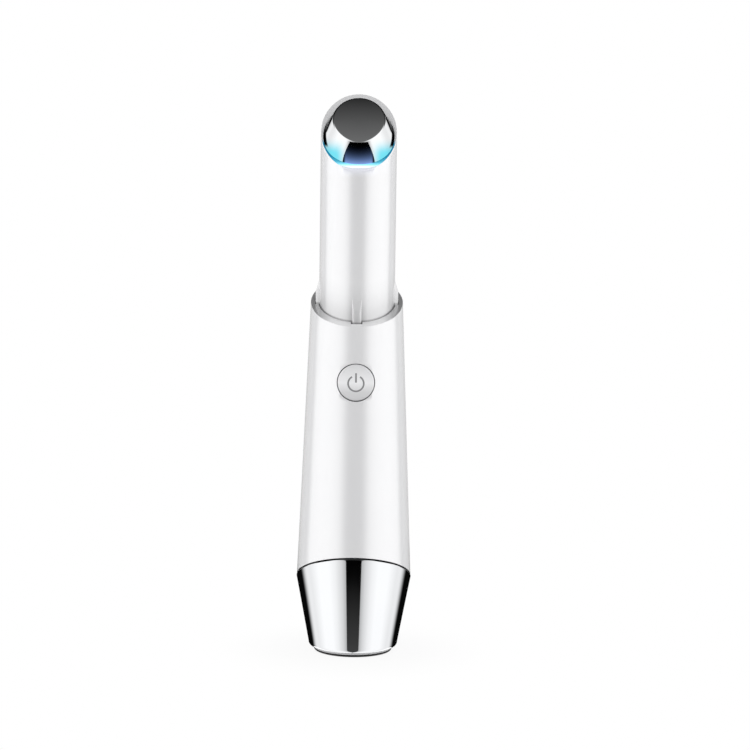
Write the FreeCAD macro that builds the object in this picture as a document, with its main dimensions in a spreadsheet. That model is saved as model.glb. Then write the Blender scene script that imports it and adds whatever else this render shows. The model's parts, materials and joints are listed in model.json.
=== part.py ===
import FreeCAD, Part
import Sketcher
import math
import os
from FreeCAD import Vector, Rotation

# Heated eye massager wand, standing on its foot: +Z up, button to the front (-Y),
# origin in the middle of the foot's flat face. Millimetres.

sizes = (
    # chrome base and its foot
    ("foot_radius", 11.5),
    ("foot_step", 1.35),
    ("foot_edge", 0.3),
    ("cover_bottom_radius", 13.2),
    ("cover_edge_round", 1.2),
    ("cover_wall", 1.2),
    ("cover_lip_thickness", 1.4),
    ("seam_height", 22.3),
    ("seam_radius", 16.95),
    ("seam_angle", 25),
    ("seam_lip", 0.08),
    ("gasket_thickness", 0.5),
    # white handle
    ("collar_radius", 13.5),
    ("collar_angle", 25),
    ("collar_edge_round", 0.25),
    ("body_wall", 1.6),
    ("collar_bore_depth", 11),
    ("fit_gap", 0.1),
    ("running_gap", 0.3),
    # neck tube with its four ribs and slanted face
    ("neck_radius", 11.1),
    ("neck_gap", 0.2),
    ("neck_wall", 1.4),
    ("neck_ledge", 0.5),
    ("neck_flange_thickness", 2.5),
    ("rib_width", 3.1),
    ("rib_face_width", 2.2),
    ("rib_depth", 1),
    ("rib_rise", 6.2),
    ("rib_ramp", 3),
    ("neck_length", 49.4),
    ("face_angle", 45),
    ("face_wall", 1.4),
    # massage head, measured in the plane of the slanted face
    ("head_half_width", 10.33),
    ("head_half_length", 12.36),
    ("head_shift", 2.06),
    ("head_rise", 4.86),
    ("facet_half_width", 7.87),
    ("facet_half_length", 9.19),
    ("facet_bevel", 0.3),
    ("head_flange_depth", 1.6),
    ("head_cavity_half_width", 7.6),
    ("head_cavity_half_length", 9.2),
    ("head_cavity_shift", 1.2),
    ("head_cavity_rise", 2.6),
    # translucent ring round the head, its seal and the lamps under it
    ("ring_width", 0.42),
    ("ring_half_length", 13.35),
    ("ring_shift", 2.6),
    ("ring_ledge", 1),
    ("ring_depth", 2.5),
    ("seal_thickness", 0.5),
    ("lamp_board_thickness", 0.8),
    ("lamp_board_bore", 2.2),
    ("lamp_length", 1.6),
    ("lamp_width", 0.8),
    ("lamp_height", 0.5),
    ("lamp_inset", 0.9),
    ("heater_thickness", 1),
    ("sensor_length", 2.4),
    ("sensor_width", 1.4),
    ("sensor_height", 0.9),
    # vibration motor
    ("motor_rise", 8),
    ("motor_length", 16.5),
    ("motor_radius", 3.5),
    ("motor_can_wall", 0.3),
    ("motor_sleeve_wall", 0.9),
    ("motor_mount_wall", 1.2),
    ("motor_mount_length", 16),
    ("motor_mount_ring", 1.6),
    ("motor_shaft_radius", 0.5),
    ("shaft_gap", 0.04),
    ("motor_cap_thickness", 1.2),
    ("coil_wall", 0.4),
    ("coil_hub_thickness", 0.6),
    ("magnet_radius", 2),
    ("weight_radius", 3.2),
    ("weight_length", 4),
    ("weight_gap", 0.6),
    # button and its switch
    ("button_height", 81.4),
    ("button_radius", 5.2),
    ("button_gap", 0.35),
    ("button_travel", 0.4),
    ("button_crown", 0.45),
    ("button_proud", 0.05),
    ("button_flange_width", 0.8),
    ("button_flange_thickness", 0.8),
    ("button_nub_radius", 2),
    ("button_nub_length", 0.3),
    ("button_headroom", 1.1),
    ("switch_width", 6),
    ("switch_thickness", 3.1),
    ("plunger_radius", 1.7),
    ("plunger_length", 1.85),
    ("plunger_proud", 1),
    ("touch_gap", 0.05),
    # inner frame, board and cell
    ("frame_bottom", 24),
    ("frame_plate", 2),
    ("frame_wall", 1.2),
    ("cell_radius", 7),
    ("cell_length", 50),
    ("cell_setback", 3.6),
    ("cell_gap", 0.15),
    ("cell_groove", 0.4),
    ("foam_thickness", 1),
    ("board_width", 17.2),
    ("board_thickness", 1),
    ("board_bottom", 29),
    ("board_gap", 0.5),
    ("lead_radius", 0.6),
    ("window_start", 0.15),
    ("window_pitch", 0.4),
    ("window_share", 0.3),
    ("cell_cap_radius", 2.5),
    # pieces on the board: side, height off it, level above its lower edge, place across
    ("control_chip_side", 5),
    ("control_chip_height", 1),
    ("control_chip_level", 37),
    ("charge_chip_side", 3),
    ("charge_chip_height", 0.9),
    ("charge_chip_across", -4),
    ("power_coil_side", 4),
    ("power_coil_height", 2),
    ("power_coil_across", 3),
    ("charge_row_level", 23),
    ("head_socket_width", 6),
    ("head_socket_level", 11),
    ("cell_socket_width", 4),
    ("cell_socket_level", 4),
    ("lead_socket_length", 3),
    ("lead_socket_height", 2.2),
    # plug that carries the base, charging socket
    ("plug_wall", 1.4),
    ("plug_floor", 1.5),
    ("plug_top", 35),
    ("post_radius", 2.2),
    ("post_offset", 9.4),
    ("socket_width", 7.5),
    ("socket_thickness", 2.6),
    ("socket_wall", 0.3),
    ("socket_inset", 0.3),
    ("socket_gap", 0.15),
    ("charge_board_height", 6),
    ("charge_board_half_width", 6.4),
    ("charge_board_half_length", 8.4),
    ("charge_board_thickness", 1),
    ("screw_radius", 0.8),
    ("screw_head_radius", 1.4),
    ("screw_head_height", 1.1),
    ("screw_length", 7),
    ("screw_bite_share", 0.75),
    # how far a cutting shape runs past what it cuts
    ("cut_margin", 3),
)

doc = FreeCAD.newDocument("eye_massager_wand")
sheet = doc.addObject("Spreadsheet::Sheet", "dims")
for row, (alias, number) in enumerate(sizes, start=1):
    sheet.set("A%d" % row, alias.replace("_", " "))
    sheet.set("B%d" % row, str(number))
    sheet.setAlias("B%d" % row, alias)
doc.recompute()


class Size:
    # A number that also carries the sheet expression it comes from.
    def __init__(self, number, text):
        self.number = number
        self.text = text

    def __float__(self):
        return float(self.number)

    def join(self, other, sign, swap=False):
        left, right = (size(other), self) if swap else (self, size(other))
        a = left.number
        b = right.number
        if sign == "+":
            number = a + b
        elif sign == "-":
            number = a - b
        elif sign == "*":
            number = a * b
        else:
            number = a / b
        return Size(number, "(%s %s %s)" % (left.text, sign, right.text))

    def __add__(self, other):
        return self.join(other, "+")

    def __radd__(self, other):
        return self.join(other, "+", swap=True)

    def __sub__(self, other):
        return self.join(other, "-")

    def __rsub__(self, other):
        return self.join(other, "-", swap=True)

    def __mul__(self, other):
        return self.join(other, "*")

    def __rmul__(self, other):
        return self.join(other, "*", swap=True)

    def __truediv__(self, other):
        return self.join(other, "/")

    def __neg__(self):
        return Size(-self.number, "(0 - %s)" % self.text)


def size(value):
    if isinstance(value, Size):
        return value
    return Size(float(value), "%.6f" % value)


def cell(alias):
    return Size(float(sheet.get(alias)), "dims." + alias)


def turned(function, angle):
    number = getattr(math, function)(math.radians(angle.number))
    return Size(number, "%s(%s * 1 deg)" % (function, angle.text))


def root_of(value):
    return Size(math.sqrt(value.number), "sqrt(%s)" % value.text)


# Binds one property of a document object to the sheet.
def bind(item, path, value):
    item.setExpression(path, size(value).text)


# Moves an object, with its place bound to the sheet.
def place(item, x=0, y=0, z=0, axis=None, angle=0):
    item.Placement.Base = Vector(float(x), float(y), float(z))
    if axis is not None:
        item.Placement.Rotation = Rotation(Vector(*axis), float(angle))
        if isinstance(angle, Size):
            bind(item, "Placement.Rotation.Angle", angle * Size(1, "1 deg"))
    for letter, value in zip("xyz", (x, y, z)):
        if isinstance(value, Size):
            bind(item, "Placement.Base." + letter, value)


def new_body(label):
    body = doc.addObject("PartDesign::Body", label)
    body.Label = label
    return body


def new_sketch(body, name, role, height=0, tilt=None):
    sketch = body.newObject("Sketcher::SketchObject", name)
    plane = [item for item in body.Origin.OriginFeatures if item.Role == role][0]
    sketch.AttachmentSupport = [(plane, "")]
    sketch.MapMode = "FlatFace"
    offset = FreeCAD.Placement(Vector(0, 0, float(height)), Rotation())
    if tilt is not None:
        offset.Rotation = Rotation(Vector(1, 0, 0), float(tilt))
    sketch.AttachmentOffset = offset
    if isinstance(height, Size):
        bind(sketch, "AttachmentOffset.Base.z", height)
    if tilt is not None:
        bind(sketch, "AttachmentOffset.Rotation.Angle", tilt * Size(1, "1 deg"))
    return sketch


def fix_point(sketch, index, corner, x, y):
    for kind, value, across in (("DistanceX", x, -2), ("DistanceY", y, -1)):
        if value is None:
            continue
        if float(value) == 0:
            sketch.addConstraint(Sketcher.Constraint("PointOnObject", index, corner, across))
            continue
        rule = Sketcher.Constraint(kind, -1, 1, index, corner, float(value))
        number = sketch.addConstraint(rule)
        if isinstance(value, Size):
            sketch.setExpression("Constraints[%d]" % number, value.text)


# Closed outline of straight lines through the given points.
def outline(sketch, points):
    count = len(points)
    spots = [Vector(float(x), float(y), 0) for x, y in points]
    first = sketch.GeometryCount
    for number in range(count):
        sketch.addGeometry(Part.LineSegment(spots[number], spots[(number + 1) % count]))
    for number in range(count):
        follower = first + (number + 1) % count
        sketch.addConstraint(Sketcher.Constraint("Coincident", first + number, 2, follower, 1))
    for number, (x, y) in enumerate(points):
        fix_point(sketch, first + number, 1, x, y)
    return sketch


# The same without the closing line.
def open_outline(sketch, points):
    spots = [Vector(float(x), float(y), 0) for x, y in points]
    last = len(points) - 2
    for number in range(last + 1):
        sketch.addGeometry(Part.LineSegment(spots[number], spots[number + 1]))
        fix_point(sketch, number, 1, *points[number])
    for number in range(last):
        sketch.addConstraint(Sketcher.Constraint("Coincident", number, 2, number + 1, 1))
    fix_point(sketch, last, 2, *points[-1])
    return sketch


def rectangle(sketch, x_low, y_low, x_high, y_high):
    corners = ((x_low, y_low), (x_high, y_low), (x_high, y_high), (x_low, y_high))
    return outline(sketch, corners)


def circle(sketch, x, y, radius):
    index = sketch.addGeometry(Part.Circle(Vector(float(x), float(y), 0), Vector(0, 0, 1), float(radius)))
    fix_point(sketch, index, 3, x, y)
    number = sketch.addConstraint(Sketcher.Constraint("Radius", index, float(radius)))
    if isinstance(radius, Size):
        sketch.setExpression("Constraints[%d]" % number, radius.text)
    return sketch


# Ellipse with its middle on the sketch's upright axis and its axes level and upright.
def ellipse(sketch, half_width, half_length, middle):
    centre = Vector(0, float(middle), 0)
    side = centre + Vector(float(half_width), 0, 0)
    end = centre + Vector(0, float(half_length), 0)
    upright = float(half_length) > float(half_width)
    if upright:
        index = sketch.addGeometry(Part.Ellipse(end, side, centre))
    else:
        index = sketch.addGeometry(Part.Ellipse(side, end, centre))
    sketch.exposeInternalGeometry(index)
    fix_point(sketch, index, 3, 0, middle)
    sketch.addConstraint(Sketcher.Constraint("Vertical" if upright else "Horizontal", index + 1))
    longer, shorter = (half_length, half_width) if upright else (half_width, half_length)
    for line, half in ((index + 1, longer), (index + 2, shorter)):
        number = sketch.addConstraint(Sketcher.Constraint("Distance", line, 2 * float(half)))
        sketch.setExpression("Constraints[%d]" % number, (size(half) * 2).text)
    return sketch


def feature(body, kind, name, sketch, length=None, symmetric=False, reverse=False):
    item = body.newObject("PartDesign::" + kind, name)
    item.Profile = sketch
    item.Reversed = reverse
    if length is None:
        item.Type = "ThroughAll"
    else:
        item.Length = float(length)
        bind(item, "Length", length)
    if symmetric:
        item.SideType = "Symmetric"
    return item


def pad(body, name, sketch, length, symmetric=False, reverse=False):
    return feature(body, "Pad", name, sketch, length, symmetric, reverse)


def pocket(body, name, sketch, length=None, symmetric=False, reverse=False):
    return feature(body, "Pocket", name, sketch, length, symmetric, reverse)


# Full turn of a profile in the XZ plane about the upright axis.
def turn(body, name, points):
    sketch = outline(new_sketch(body, name + "_profile", "XZ_Plane"), points)
    item = body.newObject("PartDesign::Revolution", name)
    item.Profile = sketch
    item.ReferenceAxis = (sketch, ["V_Axis"])
    item.Angle = 360
    return item


def block(body, name, kind, length, width, height, **where):
    item = body.newObject("PartDesign::" + kind, name) if body else doc.addObject(kind, name)
    for side, value in (("Length", length), ("Width", width), ("Height", height)):
        setattr(item, side, float(value))
        bind(item, side, value)
    place(item, **where)
    return item


def rod(body, name, kind, radius, height, **where):
    item = body.newObject("PartDesign::" + kind, name) if body else doc.addObject(kind, name)
    for side, value in (("Radius", radius), ("Height", height)):
        setattr(item, side, float(value))
        bind(item, side, value)
    place(item, **where)
    return item


# Box with one face on a plane tilted about X that crosses the axis at the given height.
def slant(body, name, kind, reach, height, angle, above):
    cosine = turned("cos", angle)
    sine = turned("sin", angle)
    half = reach / 2
    drop = 0 if above else reach
    where = {
        "x": -half,
        "y": -(half * cosine) + drop * sine,
        "z": height - half * sine - drop * cosine,
        "axis": (1, 0, 0),
        "angle": angle,
    }
    return block(body, name, kind, reach, reach, reach, **where)


def cut(label, base, tool):
    item = doc.addObject("Part::Cut", label)
    item.Label = label
    item.Base = base
    item.Tool = tool
    return item


def common(label, base, tool):
    item = doc.addObject("Part::Common", label)
    item.Label = label
    item.Base = base
    item.Tool = tool
    return item


def fuse(label, items):
    item = doc.addObject("Part::MultiFuse", label)
    item.Label = label
    item.Shapes = items
    return item


# Rounds or chamfers the edges of a body's tip that a test picks out.
def dress(body, name, kind, amount, test):
    doc.recompute()
    tip = body.Tip
    names = ["Edge%d" % (i + 1) for i, edge in enumerate(tip.Shape.Edges) if test(edge)]
    item = body.newObject("PartDesign::" + kind, name)
    item.Base = (tip, names)
    side = "Radius" if kind == "Fillet" else "Size"
    setattr(item, side, float(amount))
    bind(item, side, amount)
    doc.recompute()
    return item


# ---------------------------------------------------------------- shared places
foot_step = cell("foot_step")
seam_height = cell("seam_height")
seam_angle = cell("seam_angle")
seam_tan = turned("tan", seam_angle)
collar_angle = cell("collar_angle")
collar_tan = turned("tan", collar_angle)
body_wall = cell("body_wall")
fit_gap = cell("fit_gap")
neck_radius = cell("neck_radius")
neck_gap = cell("neck_gap")
face_angle = cell("face_angle")

# heights from the button up: what lies above it moves with it
button_height = cell("button_height")
button_radius = cell("button_radius")
flange_reach = button_radius + cell("button_flange_width")
frame_top = button_height + flange_reach + cell("button_headroom")
flange_bottom = frame_top + cell("frame_plate")
step_height = flange_bottom + cell("neck_flange_thickness")
collar_height = step_height + cell("collar_bore_depth")
face_height = collar_height + cell("neck_length")
motor_bottom = collar_height + cell("motor_rise")
mount_top = motor_bottom + cell("motor_mount_length")
reach = collar_height

shell_seam_radius = cell("seam_radius") - cell("seam_lip")
shell_slope = (shell_seam_radius - cell("collar_radius")) / (collar_height - seam_height)


def shell_radius(height):
    return cell("collar_radius") + shell_slope * (collar_height - height)


seam_swing = cell("seam_radius") * seam_tan + cell("cut_margin")
collar_swing = cell("collar_radius") * collar_tan + cell("cut_margin")
shell_low = seam_height - seam_swing
shell_high = collar_height + collar_swing
collar_bore = neck_radius + neck_gap
flange_radius = shell_radius(step_height) - body_wall - fit_gap
neck_bore = neck_radius - cell("neck_wall")
upper_bore = neck_bore - cell("neck_ledge")

hole_radius = button_radius + cell("button_gap")
button_skin = shell_radius(button_height)
button_wall = button_skin - body_wall
button_back = root_of(button_wall * button_wall - flange_reach * flange_reach)
flange_front = button_back - cell("running_gap")
flange_rear = flange_front - cell("button_flange_thickness")
nub_rear = flange_rear - cell("button_nub_length")
plunger_front = nub_rear - cell("touch_gap")
switch_front = plunger_front - cell("plunger_proud")
board_front = switch_front - cell("switch_thickness")
board_rear = board_front - cell("board_thickness")

frame_bottom = cell("frame_bottom")
frame_floor = frame_bottom + cell("frame_plate")
cell_radius = cell("cell_radius")
cell_middle = cell("cell_setback")
cell_bottom = frame_floor + cell("foam_thickness")
cell_top = cell_bottom + cell("cell_length")
channel_inner = cell_radius + cell("cell_gap")
channel_outer = channel_inner + cell("frame_wall")

cover_floor_top = foot_step + cell("cover_lip_thickness")
plug_floor_top = cover_floor_top + cell("plug_floor")
plug_top = cell("plug_top")
seam_bore = shell_seam_radius - body_wall - fit_gap


# Share of the way from the foot up to the seam, at the front of the base.
def front_share(height):
    seam_front = seam_height + seam_bore * seam_tan
    return (height - cover_floor_top) / (seam_front - cover_floor_top)


# Radius of the plug's outside at the front, below the seam.
def plug_front(height):
    low = plug_foot_radius()
    return low + (seam_bore - low) * front_share(height)


def plug_foot_radius():
    return cell("cover_bottom_radius") - cell("cover_wall") - fit_gap


# Section of the tapered handle by the slanted seam plane, for a handle of this radius there.
def seam_section(sketch, radius):
    lean = shell_slope * seam_tan
    stretch = 1 - lean * lean
    cosine = turned("cos", seam_angle)
    half_width = radius / root_of(stretch)
    half_length = radius / stretch / cosine
    return ellipse(sketch, half_width, half_length, radius * lean / stretch / cosine)


def level_section(sketch, radius):
    return circle(sketch, 0, 0, radius)


# Straight-sided loft through level circles and the slanted section of the seam.
def base_loft(body, name, kind, sections):
    drawn = []
    for number, (height, radius, slanted) in enumerate(sections):
        tilt = -seam_angle if slanted else None
        label = "%s_section_%d" % (name, number + 1)
        sketch = new_sketch(body, label, "XY_Plane", height, tilt)
        drawn.append(seam_section(sketch, radius) if slanted else level_section(sketch, radius))
    loft = body.newObject("PartDesign::" + kind, name)
    loft.Profile = drawn[0]
    loft.Sections = drawn[1:]
    loft.Ruled = True
    return loft


nodes = []


def finish(item, label):
    item.Label = label
    nodes.append(item)
    return item


# ---------------------------------------------------------------- white handle
def make_body_shell():
    body = new_body("body_shell")
    inner = [shell_radius(height) - body_wall for height in (shell_low, step_height)]
    turn(body, "shell_wall", (
        (collar_bore, shell_high),
        (shell_radius(shell_high), shell_high),
        (shell_radius(shell_low), shell_low),
        (inner[0], shell_low),
        (inner[1], step_height),
        (collar_bore, step_height),
    ))
    slant(body, "collar_slant", "SubtractiveBox", reach, collar_height, collar_angle, True)
    lower_edge = seam_height + half_gasket()
    slant(body, "seam_slant", "SubtractiveBox", reach, lower_edge, -seam_angle, False)
    dress(body, "collar_edge", "Fillet", cell("collar_edge_round"), collar_rim)
    keyway_width = cell("rib_width") + fit_gap * 2
    keyway_reach = neck_radius + cell("rib_depth") + neck_gap
    keyway = block(body, "keyway", "SubtractiveBox", keyway_width, keyway_reach,
                   shell_high - step_height + body_wall, x=-keyway_width / 2, y=-keyway_reach,
                   z=step_height - body_wall)
    ring_of(body, "keyways", keyway, 4)
    rod(body, "button_hole", "SubtractiveCylinder", hole_radius, button_skin * 2,
        z=button_height, axis=(1, 0, 0), angle=90)
    dress(body, "button_hole_edge", "Chamfer", cell("seam_lip") * 2, button_rim)
    return finish(body, "body_shell")


# Height from the seam's middle plane up to the handle's edge.
def half_gasket():
    return cell("gasket_thickness") / 2 / turned("cos", seam_angle)


# True for the outer rim of the slanted shoulder.
def collar_rim(edge):
    points = edge.discretize(9)
    on_plane = all(abs(p.z - float(collar_height) - p.y * float(collar_tan)) < 0.02 for p in points)
    outer = all(math.hypot(p.x, p.y) > float(collar_bore) + 1 for p in points)
    return on_plane and outer


# True for the rim where the button's hole breaks the outer skin.
def button_rim(edge):
    points = edge.discretize(9)
    return all(
        abs(math.hypot(p.x, p.z - float(button_height)) - float(hole_radius)) < 0.02
        and abs(math.hypot(p.x, p.y) - float(shell_radius(size(p.z)))) < 0.02
        and p.y < 0
        for p in points
    )


def ring_of(body, name, original, count):
    pattern = body.newObject("PartDesign::PolarPattern", name)
    pattern.Originals = [original]
    upright = [item for item in body.Origin.OriginFeatures if item.Role == "Z_Axis"][0]
    pattern.Axis = (upright, [""])
    pattern.Angle = 360
    pattern.Occurrences = count
    body.Tip = pattern
    return pattern


# ---------------------------------------------------------------- neck tube
def make_neck_tube():
    blank = new_body("neck_blank")
    neck_high = face_height + neck_radius * turned("tan", face_angle) + cell("cut_margin")
    turn(blank, "neck_outside", (
        (0, flange_bottom),
        (flange_radius, flange_bottom),
        (flange_radius, step_height),
        (neck_radius, step_height),
        (neck_radius, neck_high),
        (0, neck_high),
    ))
    slant(blank, "face_slant", "SubtractiveBox", reach, face_height, face_angle, True)
    for quarter, rearward in enumerate((1, 0, -1, 0)):
        add_rib(blank, quarter, rearward)
    for number, side in enumerate((-1, 1)):
        rod(blank, "flange_screw_hole_%d" % (number + 1), "SubtractiveCylinder",
            cell("screw_radius"), neck_screw_bite() + 1, x=neck_screw_offset() * side,
            z=flange_bottom - 1)

    bore = rod(None, "neck_bore_rod", "Part::Cylinder", neck_bore, mount_top - flange_bottom,
               z=flange_bottom)
    upper = rod(None, "upper_bore_rod", "Part::Cylinder", upper_bore, neck_high - mount_top,
                z=mount_top)
    depth = cell("ring_depth") + cell("seal_thickness") + cell("face_wall")
    under_face = face_height - depth / turned("cos", face_angle)
    below = slant(None, "under_face_box", "Part::Box", reach, under_face, face_angle, False)
    slanted_bore = common("slanted_bore", upper, below)

    seat = new_body("ring_seat")
    seat_plan = ring_plan(new_sketch(seat, "seat_plan", "XY_Plane", -depth_to_seal()), 0)
    pad(seat, "seat_depth", seat_plan, depth_to_seal() + 1)
    in_face(seat)

    opening = new_body("lead_opening")
    plan = new_sketch(opening, "opening_plan", "XY_Plane", -(depth + 1))
    lamp_half_width = lamp_board_half_width() - cell("lamp_board_bore")
    lamp_half_length = lamp_board_half_length() - cell("lamp_board_bore")
    ellipse(plan, lamp_half_width, lamp_half_length, -cell("head_shift"))
    pad(opening, "opening_depth", plan, depth + 1)
    in_face(opening)
    hollow = fuse("neck_hollow", [bore, slanted_bore, seat, opening])
    return finish(cut("neck_tube", blank, hollow), "neck_tube")


# One rib: drafted sides and a ramp at its top, standing on the flange.
def add_rib(body, quarter, rearward):
    rib_back = neck_radius - cell("neck_wall") / 2
    rib_front = neck_radius + cell("rib_depth")
    top = collar_height + collar_tan * (neck_radius * rearward) + cell("rib_rise")
    wedge = body.newObject("PartDesign::AdditiveWedge", "rib_%d" % (quarter + 1))
    half = cell("rib_width") / 2
    face_half = cell("rib_face_width") / 2
    for side, value in (
        ("Xmin", -half),
        ("Xmax", half),
        ("X2min", -face_half),
        ("X2max", face_half),
        ("Ymin", rib_back),
        ("Ymax", rib_front),
        ("Zmin", step_height),
        ("Zmax", top),
        ("Z2min", step_height),
        ("Z2max", top - cell("rib_ramp")),
    ):
        setattr(wedge, side, float(value))
        bind(wedge, side, value)
    wedge.Placement.Rotation = Rotation(Vector(0, 0, 1), 90 * quarter)
    return wedge


def depth_to_seal():
    return cell("ring_depth") + cell("seal_thickness")


# Puts a body drawn in the plane of the slanted face where that face is.
def in_face(item):
    place(item, z=face_height, axis=(1, 0, 0), angle=face_angle)


def ring_half_width():
    return cell("head_half_width") + cell("ring_width")


# Outline of the ring's seat, drawn in by the given gap.
def ring_plan(sketch, gap):
    ellipse(sketch, ring_half_width() - gap, cell("ring_half_length") - gap, -cell("ring_shift"))
    return sketch


# Outline of the head's rim, drawn in by the given amount.
def head_plan(sketch, inset):
    half_width = cell("head_half_width") - inset
    half_length = cell("head_half_length") - inset
    ellipse(sketch, half_width, half_length, -cell("head_shift"))
    return sketch


def lamp_board_half_width():
    return cell("head_half_width") - cell("ring_ledge") - fit_gap


def lamp_board_half_length():
    return cell("head_half_length") - cell("ring_ledge") - fit_gap


# ---------------------------------------------------------------- massage head
def make_massage_head():
    body = new_body("massage_head")
    rim = head_plan(new_sketch(body, "rim_plan", "XY_Plane"), 0)
    bevel = cell("facet_bevel")
    shoulder = new_sketch(body, "shoulder_plan", "XY_Plane", cell("head_rise") - bevel)
    ellipse(shoulder, cell("facet_half_width"), cell("facet_half_length"), 0)
    facet = new_sketch(body, "facet_plan", "XY_Plane", cell("head_rise"))
    ellipse(facet, cell("facet_half_width") - bevel, cell("facet_half_length") - bevel, 0)
    dome = body.newObject("PartDesign::AdditiveLoft", "dome")
    dome.Profile = rim
    dome.Sections = [shoulder, facet]
    dome.Ruled = True
    flange = head_plan(new_sketch(body, "flange_plan", "XY_Plane"), 0)
    depth = cell("head_flange_depth")
    pad(body, "flange", flange, depth, reverse=True)
    hollow = new_sketch(body, "hollow_plan", "XY_Plane", -depth)
    ellipse(hollow, cell("head_cavity_half_width"), cell("head_cavity_half_length"),
            -cell("head_cavity_shift"))
    pocket(body, "hollow", hollow, depth + cell("head_cavity_rise"), reverse=True)
    in_face(body)
    return finish(body, "massage_head")


# Translucent ring with a ledge that carries the head, flush with the neck tube in front.
def make_light_ring():
    body = new_body("ring_blank")
    depth = cell("ring_depth")
    plan = ring_plan(new_sketch(body, "ring_plan", "XY_Plane", -depth), fit_gap / 2)
    pad(body, "ring", plan, depth)
    seat = head_plan(new_sketch(body, "ring_seat_plan", "XY_Plane"), -fit_gap / 2)
    pocket(body, "ring_seat", seat, cell("head_flange_depth"))
    bore = head_plan(new_sketch(body, "ring_bore_plan", "XY_Plane"), cell("ring_ledge"))
    pocket(body, "ring_bore", bore, depth * 2)
    in_face(body)
    skin = rod(None, "ring_skin_rod", "Part::Cylinder", neck_radius - fit_gap / 2, reach,
               z=face_height / 2)
    return finish(common("light_ring", body, skin), "light_ring")


def make_head_seal():
    body = new_body("head_seal")
    thickness = cell("seal_thickness")
    plan = new_sketch(body, "seal_plan", "XY_Plane", -depth_to_seal())
    ring_plan(plan, fit_gap)
    head_plan(plan, cell("ring_ledge"))
    pad(body, "seal", plan, thickness)
    in_face(body)
    return finish(body, "head_seal")


def make_lamp_board():
    body = new_body("lamp_board")
    plan = new_sketch(body, "lamp_board_plan", "XY_Plane", -depth_to_seal())
    head_plan(plan, cell("ring_ledge") + fit_gap)
    head_plan(plan, cell("ring_ledge") + fit_gap + cell("lamp_board_bore") + cell("frame_wall"))
    pad(body, "lamp_board", plan, cell("lamp_board_thickness"))
    in_face(body)
    return finish(body, "lamp_board")


# Six lamps on the board, spread round its outer edge and turned to follow it.
def make_lamps():
    count = 6
    half_width = lamp_board_half_width() - cell("lamp_inset")
    half_length = lamp_board_half_length() - cell("lamp_inset")
    level = cell("lamp_board_thickness") - depth_to_seal()
    for number in range(count):
        share = 2 * math.pi * (number + 0.5) / count
        spot_x = float(half_width) * math.cos(share)
        spot_y = float(half_length) * math.sin(share) - float(cell("head_shift"))
        along = math.degrees(math.atan2(float(half_length) * math.cos(share),
                                        -float(half_width) * math.sin(share)))
        body = new_body("lamp_%d" % (number + 1))
        plan = new_sketch(body, "lamp_plan_%d" % (number + 1), "XY_Plane")
        rectangle(plan, -cell("lamp_length") / 2, -cell("lamp_width") / 2,
                  cell("lamp_length") / 2, cell("lamp_width") / 2)
        pad(body, "lamp_case_%d" % (number + 1), plan, cell("lamp_height"))
        doc.recompute()
        tilt = FreeCAD.Placement(Vector(0, 0, float(face_height)),
                                 Rotation(Vector(1, 0, 0), float(face_angle)))
        spot = FreeCAD.Placement(Vector(spot_x, spot_y, float(level)),
                                 Rotation(Vector(0, 0, 1), along))
        body.Placement = tilt.multiply(spot)
        finish(body, "lamp_%d" % (number + 1))


def make_heater():
    body = new_body("heater_plate")
    top = cell("head_cavity_rise")
    thickness = cell("heater_thickness")
    plan = new_sketch(body, "heater_plan", "XY_Plane", top - thickness)
    ellipse(plan, cell("head_cavity_half_width") - cell("running_gap"),
            cell("head_cavity_half_length") - cell("running_gap"), -cell("head_cavity_shift"))
    pad(body, "heater", plan, thickness)
    in_face(body)
    finish(body, "heater_plate")

    sensor = new_body("heat_sensor")
    height = cell("sensor_height")
    plan = new_sketch(sensor, "sensor_plan", "XY_Plane", top - thickness - height)
    rectangle(plan, -cell("sensor_length") / 2, -cell("sensor_width") / 2,
              cell("sensor_length") / 2, cell("sensor_width") / 2)
    pad(sensor, "sensor", plan, height)
    in_face(sensor)
    finish(sensor, "heat_sensor")


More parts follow.
